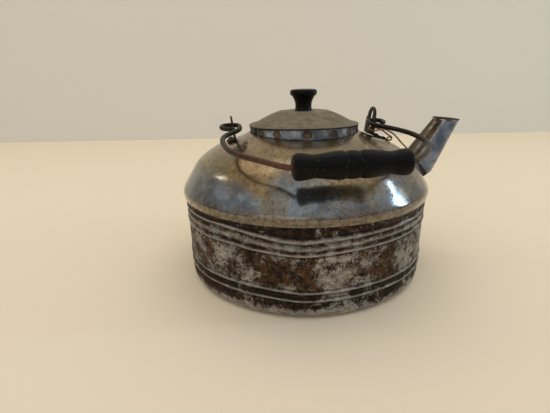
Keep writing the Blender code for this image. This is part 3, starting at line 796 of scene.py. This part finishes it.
def build_collar():
    collar_radius = 52.2 * MM
    inside = collar_radius - SHEET
    flange_radius = COLLAR_HIGH.x
    top = COLLAR_HIGH.z
    low = COLLAR_LOW.z
    height = top - low
    outline = [(inside, low), (flange_radius, low), (flange_radius, low + SHEET)]
    outline += [(collar_radius + 0.6 * MM, low + SHEET), (collar_radius, low + SHEET + 0.6 * MM)]
    rows = 26
    outline += [(collar_radius, low + 1.6 * MM + (height - 2.6 * MM) * row / rows) for row in range(rows + 1)]
    outline += arc((collar_radius - 0.4 * MM, top - 0.4 * MM), 0.4 * MM, 0, 180, 6)
    outline += [(inside, top - 1.0 * MM)]

    def dimple(p):
        angle = bearing(p)
        apart = min(abs((angle - spot + 180.0) % 360.0 - 180.0) for spot in COLLAR_SPOTS)
        across = math.radians(apart) * collar_radius
        foot = DOME_HIGH.z + saddle(p)
        middle = foot + (top - sink(p) - foot) * 0.46
        wobble = 1.0 + 0.25 * noise.noise(p * 160.0)
        reach = math.hypot(across / (4.7 * MM), (p.z - middle) / (3.9 * MM)) * wobble
        return max(0.0, 1.0 - reach * reach)

    def sunk(point):
        share = clamp((point.z - 136.0 * MM) / (top - 136.0 * MM))
        return point - upward(sink(point) * share)

    # painted shade where the collar meets the dome, and painted shadow under the lid's rim
    def shaded_corners(p):
        foot = bell(p.z - DOME_HIGH.z - saddle(p), 0.9 * MM)
        return min(1.0, foot + 0.9 * bell(p.z - top + sink(p), 0.9 * MM))

    mesh = lathe("kettle_collar", outline, 480, sunk)
    mark(mesh, "dimple", dimple)
    mark(mesh, "foot", shaded_corners)
    for vertex in mesh.vertices:
        point = vertex.co.copy()
        if off_axis(point) > inside - 0.1 * MM and point.z > DOME_HIGH.z - MM:
            push = 0.75 * MM * dimple(point) ** 0.7 + 0.06 * MM * noise.noise(point * 120.0)
            vertex.co = point - outward(point) * push
    place("kettle_collar", mesh, collar_tin(), "kettle", "tinned_steel", ["mouth_collar"], 50)


def rounded_ring(corners, reach, per_corner, per_side):
    """A ring of points along a polygon whose corners are rounded over the given reach."""
    points = []
    count = len(corners)
    for index, corner in enumerate(corners):
        before = corners[index - 1]
        after = corners[(index + 1) % count]
        start = corner + (before - corner).normalized() * min(reach, (before - corner).length * 0.45)
        end = corner + (after - corner).normalized() * min(reach, (after - corner).length * 0.45)
        for step in range(per_corner + 1):
            t = step / per_corner
            points.append(start * (1 - t) ** 2 + corner * 2 * t * (1 - t) + end * t ** 2)
        far = after + (corner - after).normalized() * min(reach, (corner - after).length * 0.45)
        for step in range(1, per_side):
            points.append(end.lerp(far, step / per_side))
    return points


def spout_station(t):
    """Spout station at t, 0 at the foot and 3 at the opening."""
    index = min(int(t), 2)
    pairs = zip(SPOUT_STATIONS[index], SPOUT_STATIONS[index + 1])
    return [first + (last - first) * (t - index) for first, last in pairs]


def spout_section(t, margin, corner=1.1 * MM):
    """The rounded ring of points at t, grown by margin."""
    return rounded_ring(spout_ring(spout_station(t), margin), corner, 4, 4)


def spout_marks(mesh, tip_z):
    """Side, painted-highlight corner and rusty-end masks worked out from the spout's own section."""
    normals = [vertex.normal.copy() for vertex in mesh.vertices]
    corners = [0.0] * len(normals)
    for edge in mesh.edges:
        first, last = edge.vertices
        turn = normals[first].angle(normals[last], 0.0)
        for vertex in edge.vertices:
            corners[vertex] = max(corners[vertex], turn)
    mark(mesh, "side", [clamp((abs(n.y) - 0.8) / 0.12) for n in normals])
    # corner mask, for the painted highlight
    mark(mesh, "edge", [clamp((turn - 0.1) / 0.12) for turn in corners])

    def ends(p):
        tip = bell(p.z - tip_z, 3.2 * MM) * 0.62
        root = bell(dome_gap(p), 4.5 * MM) * (0.75 if p.y < 0.0 else 0.5)
        return min(1.0, tip + root)

    mark(mesh, "ends", ends)
    mark(mesh, "crack", crack)


DOME_RADII = [(z, r) for r, z in smooth_outline(DOME_OUTLINE, 1.0 * MM)]


def dome_gap(point):
    """Distance of a point outside the dome, measured level."""
    return off_axis(point) - between(DOME_RADII, max(point.z, SEAM_Z))


CRACK = in_mm((113.6, 104.0), (126.2, 86.0))    # the burst seam's ends (x, z)


def crack(point):
    """The burst seam on the near side of the spout's foot, wider towards the bottom."""
    start, end = Vector(CRACK[0]), Vector(CRACK[1])
    spot = Vector((point.x, point.z))
    share = clamp((spot - start).dot(end - start) / (end - start).length_squared)
    width = (0.7 + 1.7 * share) * MM
    near = max(0.0, 1.0 - (spot - start.lerp(end, share)).length / width / 1.6)
    return min(1.0, near * 1.8) if point.y < -6.0 * MM else 0.0


def build_spout(material):
    shares = [index / 10 for index in range(11)] + [1 + index / 12 for index in range(1, 13)]
    shares += [2 + index / 60 for index in range(1, 61)]

    def dent_spout(point):
        push = noise.noise_vector(point * 55.0) * (0.28 * MM)
        along = clamp((point.z - 96 * MM) / (12 * MM))
        return point + push * along

    outside = [spout_section(t, 0.0) for t in shares]
    inside = [spout_section(t, -SHEET, 1.0 * MM) for t in reversed(shares)]
    mesh = loft("kettle_spout", outside + inside, dent_spout)
    spout_marks(mesh, 143 * MM)
    place("kettle_spout", mesh, material, "kettle", "tinned_steel", ["spout_tube"], 60)


def build_spout_rim(material):
    """The rolled edge of the opening."""
    tip = SPOUT_STATIONS[-1]
    height = 1.1 * MM
    rings = []
    section = [(-SHEET, 0.0), (0.45 * MM, 0.0), (0.7 * MM, height * 0.3), (0.7 * MM, height * 0.7),
               (0.4 * MM, height), (-SHEET * 0.6, height), (-SHEET, height * 0.7)]
    for margin, lift in section:
        ring = rounded_ring(spout_ring(tip, margin), 1.2 * MM, 4, 6)
        rise = upward(lift + GAP)
        rings.append([p + rise + noise.noise_vector(p * 160.0) * (0.22 * MM) for p in ring])
    mesh = loft("kettle_spout_rim", rings)
    for name in ("side", "edge", "crack"):
        mark(mesh, name, 0.0)
    mark(mesh, "ends", 0.62)
    place("kettle_spout_rim", mesh, material, "kettle", "tinned_steel", ["spout_rim"], 60)


def build_spout_flange(material):
    """The soldered seam round the spout's foot: rings where the grown spout meets the dome."""
    shares = [0.15 + index * 0.02 for index in range(125)]
    rings = []
    # how far each ring lies out from the spout and above the dome
    rows = in_mm((0.2, 0.15), (0.2, 1.5), (0.8, 1.1), (2.0, 0.75), (3.6, 0.6), (4.0, 0.35), (3.9, 0.15))
    for margin, above in rows:
        prism = [spout_section(t, margin) for t in shares]
        wobble = 0.15 * MM if above > 0.3 * MM else 0.0
        ring = []
        for index in range(len(prism[0])):
            line = [section[index] for section in prism]
            gaps = [dome_gap(p) - above for p in line]
            first = next((k for k in range(1, len(line)) if gaps[k] > 0.0 >= gaps[k - 1]), 1)
            share = clamp(-gaps[first - 1] / max(gaps[first] - gaps[first - 1], 1e-9))
            spot = line[first - 1].lerp(line[first], share)
            ring.append(spot + noise.noise_vector(spot * 140.0) * wobble)
        rings.append(ring)
    mesh = loft("kettle_spout_flange", rings)
    mark(mesh, "side", 0.5)
    mark(mesh, "edge", 0.0)
    mark(mesh, "ends", lambda p: 0.8 if p.z < 101 * MM else 0.6)
    mark(mesh, "crack", crack)
    place("kettle_spout_flange", mesh, material, "kettle", "tinned_steel", ["spout_flange"], 50)


# ---------------------------------------------------------------- ears and rivets
EAR_SHEET = 1.8 * MM
EAR_HALF_WIDTH = 12.0 * MM
EAR_ARCH = 9.5 * MM
EAR_SLOT = 3.2 * MM
EAR_WALL = 3.4 * MM
EAR_SLOT_FOOT = 4.0 * MM
EAR_LEAN = math.radians(8.0)
FRONT_EAR = {
    "node": "ear_front",
    "fold": (66.8 * MM, 0.0, 131.9 * MM),
    "turn": 0.0,
    "foot_tilt": math.radians(17.5),
    "foot_droop": 4.6,               # how strongly the foot curves down with the dome, per metre
    "foot_length": 23.0 * MM,
    "foot_half_width": 8.0 * MM,
    "toe_depth": 8.0 * MM,
    "rivets": {"inner": (8.0 * MM, 0.0), "outer": (17.0 * MM, 0.0)},
}
BACK_EAR = {
    "node": "ear_back",
    "fold": (-66.8 * MM, 0.0, 131.5 * MM),
    "turn": math.pi,
    "foot_tilt": math.radians(17.2),
    "foot_droop": 0.0,
    "foot_length": 8.4 * MM,
    "foot_half_width": 10.5 * MM,
    "toe_depth": 4.0 * MM,
    "rivets": {"left": (4.2 * MM, -7.2 * MM), "right": (4.2 * MM, 7.2 * MM)},
}


def foot_frame(ear):
    """World matrix of an ear's foot: local X runs away from the fold, local Z is its normal."""
    turn = Matrix.Rotation(ear["turn"], 4, "Z")
    return Matrix.Translation(ear["fold"]) @ turn @ Matrix.Rotation(ear["foot_tilt"], 4, "Y")


def droop(ear, along, across):
    """Height of the foot's middle plane: it follows the dome downwards and sideways."""
    return -ear["foot_droop"] * along * along - across * across * 1.6


def fill_loops(bm, loops):
    edges = []
    for loop in loops:
        for start, end in zip(loop, loop[1:] + loop[:1]):
            edge = bm.edges.get((start, end))
            edges.append(edge if edge else bm.edges.new((start, end)))
    bmesh.ops.triangle_fill(bm, use_beauty=True, use_dissolve=False, edges=edges)


def lug_mesh(name, ear):
    """The upright slotted lug, flat, in the foot's frame."""
    top_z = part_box(ear["node"])[1].z - EAR_SHEET * 0.1
    height = (top_z - ear["fold"][2]) / math.cos(EAR_LEAN)
    shoulder = height - EAR_ARCH
    fold_up = Matrix.Rotation(EAR_LEAN - ear["foot_tilt"], 3, "Y")
    bm = bmesh.new()

    def lug_vert(y, rise):
        return bm.verts.new(fold_up @ Vector((0.0, y, rise)))

    base = [lug_vert(side * EAR_HALF_WIDTH, 0.0) for side in (-1, 1)]
    crown = [lug_vert(EAR_HALF_WIDTH - 0.3 * MM, shoulder - 1.0 * MM)]
    for index in range(33):
        angle = math.pi * index / 32
        crown.append(lug_vert(EAR_ARCH * math.cos(angle), shoulder + EAR_ARCH * math.sin(angle)))
    crown.append(lug_vert(-EAR_HALF_WIDTH + 0.3 * MM, shoulder - 1.0 * MM))
    slot = []
    ends = ((height - EAR_WALL - EAR_SLOT, 0.0), (EAR_SLOT_FOOT + EAR_SLOT, math.pi))
    for centre, start in ends:
        for index in range(17):
            angle = start + math.pi * index / 16
            slot.append(lug_vert(EAR_SLOT * math.cos(angle), centre + EAR_SLOT * math.sin(angle)))
    fill_loops(bm, [[*base, *crown], slot])
    return finish_mesh(bm, name)


def foot_mesh(name, ear):
    """The foot: rows of quads across it, bent to the dome, its toe rounded."""
    bm = bmesh.new()
    length, half_width, depth = ear["foot_length"], ear["foot_half_width"], ear["toe_depth"]
    stops = [(length - depth) * index / 12 for index in range(13)]
    stops += [length - depth * (1 - math.sin(math.pi / 2 * index / 14)) for index in range(1, 15)]
    rows = []
    for along in stops:
        past = max(0.0, (along - length + depth) / depth)
        width = half_width * math.sqrt(max(0.004, 1.0 - past * past))
        sides = [width * (index / 8 - 1.0) for index in range(17)]
        rows.append([bm.verts.new((along, y, droop(ear, along, y))) for y in sides])
    for first, second in zip(rows, rows[1:]):
        for index in range(16):
            bm.faces.new((first[index], second[index], second[index + 1], first[index + 1]))
    return finish_mesh(bm, name)


def thicken(mesh, name):
    """A sheet given its thickness and softened edges."""
    holder = linked(name, mesh)
    solid = holder.modifiers.new("sheet", "SOLIDIFY")
    solid.thickness = EAR_SHEET
    solid.offset = 0.0
    solid.use_even_offset = True
    soften = holder.modifiers.new("edges", "BEVEL")
    soften.width = 0.45 * MM
    soften.segments = 3
    soften.limit_method = "ANGLE"
    soften.angle_limit = math.radians(40)
    result = baked(holder)
    bpy.data.objects.remove(holder)
    return result


def build_ears():
    material = ear_steel()
    for label, ear in (("front", FRONT_EAR), ("back", BACK_EAR)):
        frame_here = foot_frame(ear)
        bm = bmesh.new()
        for part in (lug_mesh("lug", ear), foot_mesh("foot", ear)):
            bm.from_mesh(thicken(part, "sheet"))
        mesh = bpy.data.meshes.new("kettle_ear_" + label)
        bm.to_mesh(mesh)
        bm.free()
        mesh.transform(frame_here)
        place(f"kettle_ear_{label}", mesh, material, "kettle", "dark_steel", [ear["node"]], 30)
        for spot, (along, across) in ear["rivets"].items():
            base = EAR_SHEET * 0.5
            head = [(0.0, base - 2.6 * MM), (1.5 * MM, base - 2.6 * MM), (1.5 * MM, base)]
            angles = [math.radians(9 * k) for k in range(11)]
            head += [(2.7 * MM * math.cos(a), base - 0.1 * MM + 1.3 * MM * math.sin(a)) for a in angles]
            mesh = lathe(f"rivet_{label}_{spot}_head", head, 48)
            spin = Matrix.Rotation(2 * ear["foot_droop"] * along, 4, "Y")
            mesh.transform(frame_here @ Matrix.Translation((along, across, droop(ear, along, across))) @ spin)
            node = f"rivet_{label}_{spot}"
            place("kettle_" + node, mesh, material, "kettle", "dark_steel", [node], 40)


# ---------------------------------------------------------------- lid
KNOB_BORE = 1.9 * MM             # hole for the knob's screw, in the lid and in the knob


def build_lid(material):
    lip = CAP_HIGH.x
    top_radius = 24.0 * MM
    top_z = CAP_HIGH.z
    lip_z = 144.5 * MM
    face = [(lip, lip_z + 0.35 * MM), (lip - 0.7 * MM, lip_z + 0.05 * MM)]
    face += [(lip - 1.8 * MM, lip_z + 0.25 * MM)]
    rows = 70
    start = Vector((lip - 2.6 * MM, lip_z + 0.75 * MM))
    end = Vector((top_radius + 1.6 * MM, top_z - 0.8 * MM))
    for row in range(rows + 1):
        share = row / rows
        point = start.lerp(end, share)
        crown = 0.35 * MM * math.sin(math.pi * share)
        ripple = 0.045 * MM * math.sin(share * math.tau * 13.0)
        face.append((point.x, point.y + crown + ripple))
    face += [(top_radius, top_z - 0.2 * MM), (top_radius - 1.8 * MM, top_z), (16.0 * MM, top_z - 0.15 * MM)]
    face += [(8.0 * MM, top_z), (KNOB_BORE, top_z)]
    under = offset_outline(face, SHEET)
    under[-1] = (KNOB_BORE, top_z - SHEET)

    def dent_lid(point):
        radius = off_axis(point)
        wave = 0.28 * MM * noise.noise(point * 28.0) + 0.06 * MM * noise.noise(point * 110.0)
        return point + upward(wave * radius / lip - sink(point, radius))

    mesh = lathe("kettle_lid", face + under[::-1], STEPS, dent_lid)

    def rings(p):
        radius = off_axis(p)
        return 0.5 + 0.5 * math.sin(radius / (1.95 * MM) * math.tau)

    mark(mesh, "rings", rings)
    # mask for the painted highlight along the lip
    mark(mesh, "lip", lambda p: bell(off_axis(p) - lip, 1.0 * MM))
    place("kettle_lid", mesh, material, "lid", "lid_steel", ["lid_cap"], 50)


def build_lid_skirt(material):
    skirt_radius = box_radius("lid_skirt")
    low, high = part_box("lid_skirt")
    outline = [(skirt_radius - SHEET, low.z)]
    outline += [(skirt_radius, low.z + 0.2 * MM), (skirt_radius, low.z + 4 * MM)]
    outline += [(skirt_radius + 0.35 * MM, low.z + 5 * MM)]
    outline += [(skirt_radius, low.z + 6 * MM), (skirt_radius, high.z), (skirt_radius - SHEET, high.z)]

    def sunk(point):
        share = clamp((point.z - 137.0 * MM) / (high.z - 137.0 * MM))
        return point - upward((sink(point, 50.4 * MM) + 0.3 * MM) * share)

    mesh = lathe("kettle_lid_skirt", outline, 240, sunk)
    mark(mesh, "rings", 0.3)
    mark(mesh, "lip", 0.0)
    place("kettle_lid_skirt", mesh, material, "lid", "lid_steel", ["lid_skirt"], 50)


def build_knob():
    foot = KNOB_LOW.z
    top = KNOB_HIGH.z
    radius = box_radius("lid_knob")
    profile = [(out, foot + up) for out, up in in_mm(
        (8.4, 0.0), (8.0, 1.5), (7.7, 3.6), (8.2, 7.4), (9.4, 10.6))]
    profile += [(radius - back, foot + up) for back, up in in_mm(
        (1.9, 12.9), (0.3, 14.3), (0.0, 16.0), (0.3, 17.8))]
    profile += [(radius - 1.9 * MM, top - 0.7 * MM), (radius * 0.45, top - 0.2 * MM), (0.2 * MM, top)]
    outline = [(KNOB_BORE, foot), *smooth_outline(profile, 0.6 * MM), (0.0, top)]
    outline += [(0.0, foot + 10 * MM), (KNOB_BORE, foot + 10 * MM)]
    mesh = lathe("kettle_knob", outline, 96)
    wood = black_wood("knob_wood", (240.0, 240.0, 60.0), top)
    place("kettle_knob", mesh, wood, "lid", "black_wood", ["lid_knob"], 50)


# ---------------------------------------------------------------- bail and grip
BAIL_BACK_SIDE = in_mm(
    (-67.4, 14.8), (-70.6, 15.6), (-75.0, 14.6), (-78.2, 11.6), (-79.2, 7.8), (-78.0, 3.6), (-74.4, 0.4),
    (-69.0, 0.0), (-65.4, 0.6), (-62.8, 3.8), (-62.2, 9.0), (-63.2, 18.0), (-68.0, 27.5), (-74.5, 37.0),
    (-78.6, 50.0), (-78.2, 68.0), (-73.6, 87.0), (-64.0, 102.0), (-53.0, 114.0), (-44.0, 124.0),
    (-38.0, 129.0),
)
BAIL_SPOUT_SIDE = in_mm(
    (53.5, 126.6), (60.0, 121.0), (69.0, 111.0), (77.6, 98.6), (83.2, 84.0), (84.9, 68.0), (82.4, 52.0),
    (76.8, 38.0), (69.4, 27.0), (64.2, 17.0), (63.0, 8.4), (63.8, 3.4), (66.2, 0.5), (69.6, 0.0),
    (74.2, 0.5), (77.2, 3.8), (77.9, 8.2), (76.2, 12.2), (73.6, 13.8),
)
GRIP_HALF = (GRIP_HIGH.x - GRIP_LOW.x) / 2 - 0.9 * MM     # the worn ends stop short of the CAD's


def build_bail():
    half = GRIP_HALF + 0.5 * MM
    straight = (GRIP_CENTRE.x - half, GRIP_CENTRE.x, GRIP_CENTRE.x + half)
    outline = [*BAIL_BACK_SIDE, *[(along, BAIL_REACH) for along in straight], *BAIL_SPOUT_SIDE]
    plane = Matrix.Translation(HINGE) @ Matrix.Rotation(BAIL_TILT, 4, "X")
    route = [plane @ p for p in smooth_route([(along, -out, 0.0) for along, out in outline], 1.7 * MM)]
    curve = tube("kettle_bail", route, 2.12 * MM, 6, 0.12 * MM)
    holder = linked("bail_curve", curve)
    mesh = baked(holder)
    bpy.data.objects.remove(holder)

    def reddened(p):
        near = max(0.0, 1.0 - max(0.0, abs(p.x - GRIP_CENTRE.x) - GRIP_HALF) / (62 * MM))
        far_enough = clamp((HINGE.y - p.y - 60 * MM) / (40 * MM))
        return near * far_enough * (1.0 if p.x < 0 else 0.35)

    mark(mesh, "reddened", reddened)
    place("kettle_bail", mesh, dark_wire(), "bail", "dark_steel", ["bail_wire"], 60)


def build_grip():
    half_profile = [(radius, GRIP_HALF - back) for radius, back in in_mm(
        (6.4, 0.0), (8.1, 0.9), (9.1, 2.6), (9.3, 4.8), (8.9, 8.4), (8.1, 12.6), (7.95, 15.0),
        (8.5, 20.0), (9.4, 26.0), (9.8, 30.6), (9.7, 34.0), (9.2, 35.6), (8.7, 36.4), (9.3, 37.4),
        (9.65, 39.4),
    )]
    mirrored = [(radius, -along) for radius, along in reversed(half_profile)]
    outside = smooth_outline([*half_profile, *mirrored], 0.7 * MM)
    bore = 2.6 * MM
    end, inside = GRIP_HALF - 0.2 * MM, GRIP_HALF - 1.0 * MM
    outline = [(bore + 0.4 * MM, end), *outside, (bore + 0.4 * MM, -end)]
    outline += [(bore, -inside), (bore, inside)]
    mesh = lathe("kettle_grip", outline, 96)
    mesh.transform(Matrix.Translation(GRIP_CENTRE) @ Matrix.Rotation(math.pi / 2, 4, "Y"))
    wood = black_wood("grip_wood", (50.0, 320.0, 320.0))
    place("kettle_grip", mesh, wood, "handgrip", "black_wood", ["grip"], 50)


TIE_ROUTE = in_mm(
    (84.6, -8.6, 124.6), (87.2, -9.0, 126.2), (85.6, -9.4, 128.4), (82.8, -9.6, 127.4),
    (83.2, -9.9, 125.2), (86.0, -10.2, 125.4), (86.6, -10.6, 128.0), (84.0, -9.6, 129.8),
    (77.0, -7.0, 135.2), (71.4, -2.6, 137.2), (68.2, -0.4, 137.4), (65.0, -2.6, 137.0),
    (64.8, -7.4, 136.4), (65.2, -12.8, 136.0), (68.0, -14.8, 135.8), (71.8, -13.4, 135.8),
    (78.4, -10.6, 136.0), (81.6, -10.2, 134.8), (86.9, -10.0, 132.2), (92.5, -9.8, 127.4),
    (98.5, -8.6, 121.8), (104.8, -6.4, 116.6), (108.2, -5.4, 113.6), (109.4, -5.0, 110.8),
)


def build_tie_wire():
    route = smooth_route(TIE_ROUTE, 0.9 * MM)
    curve = tube("kettle_tie_wire", route, 0.78 * MM, 4, 0.35 * MM)
    place("kettle_tie_wire", curve, rusty_wire(), "kettle", "rusty_wire", ["tie_wire"])


# ---------------------------------------------------------------- small carried-over nodes
def repaint_nodes():
    steel = ear_steel()
    burrs = [f"burr_{spot}" for spot in ("back_left", "back_right", "front_inner", "front_outer")]
    for name in ["knob_screw", "knob_washer"] + burrs:
        node = frame["nodes"][name]
        node.data.materials.clear()
        node.data.materials.append(steel)


# ---------------------------------------------------------------- floor, light and camera
def plain_material(name, colour, roughness):
    material = bpy.data.materials.new(name)
    material.use_nodes = True
    shader = material.node_tree.nodes["Principled BSDF"]
    shader.inputs["Base Color"].default_value = colour
    shader.inputs["Roughness"].default_value = roughness
    return material


def add_sheet(name, size, location, rotation, material):
    mesh = bpy.data.meshes.new(name)
    half_x, half_y = size[0] / 2, size[1] / 2
    corners = [(-half_x, -half_y, 0), (half_x, -half_y, 0), (half_x, half_y, 0), (-half_x, half_y, 0)]
    mesh.from_pydata(corners, [], [(0, 1, 2, 3)])
    mesh.materials.append(material)
    sheet = linked(name, mesh)
    sheet.location = location
    sheet.rotation_euler = rotation


CAMERA_BEARING = math.radians(12.0)     # of the photographer, from -Y towards -X
CAMERA_DISTANCE = 381.4 * MM
CAMERA_HEIGHT = 182.2 * MM
CAMERA_YAW = -0.0769
CAMERA_PITCH = 0.3131
CAMERA_ROLL = 0.0215
CAMERA_LENS_MM = 25.17


def add_camera():
    heading = CAMERA_BEARING + CAMERA_YAW
    spot = Vector((-math.sin(CAMERA_BEARING), -math.cos(CAMERA_BEARING), 0.0)) * CAMERA_DISTANCE
    spot.z = CAMERA_HEIGHT
    level = math.cos(CAMERA_PITCH)
    ahead = Vector((math.sin(heading) * level, math.cos(heading) * level, -math.sin(CAMERA_PITCH)))
    right = Vector((math.cos(heading), -math.sin(heading), 0.0))
    down = ahead.cross(right)
    across = right * math.cos(CAMERA_ROLL) + down * math.sin(CAMERA_ROLL)
    below = down * math.cos(CAMERA_ROLL) - right * math.sin(CAMERA_ROLL)
    turn = Matrix((across, -below, -ahead)).transposed()
    data = bpy.data.cameras.new("camera")
    data.lens = CAMERA_LENS_MM
    data.sensor_width = 36.0
    data.sensor_fit = "HORIZONTAL"
    data.clip_start = 0.01
    camera = linked("camera", data)
    camera.matrix_world = Matrix.Translation(spot) @ turn.to_4x4()
    bpy.context.scene.camera = camera


def add_light(name, location, target, size, power, colour):
    data = bpy.data.lights.new(name, "AREA")
    data.shape = "RECTANGLE"
    data.size, data.size_y = size
    data.energy = power
    data.color = colour
    aim = Vector(target) - Vector(location)
    lamp = linked(name, data)
    lamp.matrix_world = Matrix.Translation(location) @ aim.to_track_quat("-Z", "Y").to_matrix().to_4x4()


def from_camera(angle, elevation, distance):
    """A place given by its angle round the kettle from the camera's side, positive to the right."""
    heading = CAMERA_BEARING + math.radians(180.0) - math.radians(angle)
    level = distance * math.cos(math.radians(elevation))
    height = distance * math.sin(math.radians(elevation))
    return (math.sin(heading) * level, math.cos(heading) * level, height)


def add_stage():
    floor = plain_material("floor", rgb(248, 234, 208, 1.0), 0.9)
    wall = plain_material("backdrop", rgb(232, 230, 222, 1.0), 0.9)
    add_sheet("floor", (14.0, 14.0), (0.0, 0.0, -0.0002), (0.0, 0.0, 0.0), floor)
    add_sheet("backdrop", (8.0, 4.0), (0.15, 0.95, 1.0), (math.pi / 2, 0.0, math.radians(-8)), wall)
    middle = (0.0, 0.0, 0.08)
    add_light("left_light", from_camera(-100.0, 35.0, 1.5), middle, (0.2, 0.2), 0.7, (1.0, 0.92, 0.8))
    add_light("window", from_camera(92.0, 22.0, 1.5), middle, (0.09, 0.5), 2.4, (0.58, 0.78, 1.0))
    add_light("behind", (0.1, 0.5, 1.7), middle, (2.4, 0.7), 5.0, (1.0, 0.9, 0.78))
    add_light("front_fill", from_camera(-20.0, 18.0, 2.6), middle, (2.2, 1.4), 5.0, (1.0, 0.9, 0.78))
    world = bpy.data.worlds.new("studio")
    world.use_nodes = True
    tree = world.node_tree
    up = tree.nodes.new("ShaderNodeSeparateXYZ")
    tree.links.new(tree.nodes.new("ShaderNodeTexCoord").outputs["Generated"], up.inputs["Vector"])
    level = tree.nodes.new("ShaderNodeMapRange")
    tree.links.new(up.outputs["Z"], level.inputs["Value"])
    for socket, number in (("From Min", 0.0), ("From Max", 1.0), ("To Min", 0.3), ("To Max", 0.86)):
        level.inputs[socket].default_value = number
    background = tree.nodes["Background"]
    background.inputs["Color"].default_value = (1.0, 0.98, 0.96, 1.0)
    tree.links.new(level.outputs["Result"], background.inputs["Strength"])
    bpy.context.scene.world = world
    bpy.context.scene.view_settings.view_transform = "Standard"


add_camera()
add_stage()
sooty = sooty_metal()
build_wall(sooty)
build_bottom(sooty)
build_dome()
build_collar()
olive_tin = spout_tin()
build_spout(olive_tin)
build_spout_rim(olive_tin)
build_spout_flange(olive_tin)
build_ears()
dull_tin = lid_tin()
build_lid(dull_tin)
build_lid_skirt(dull_tin)
build_knob()
build_bail()
build_grip()
build_tie_wire()
repaint_nodes()
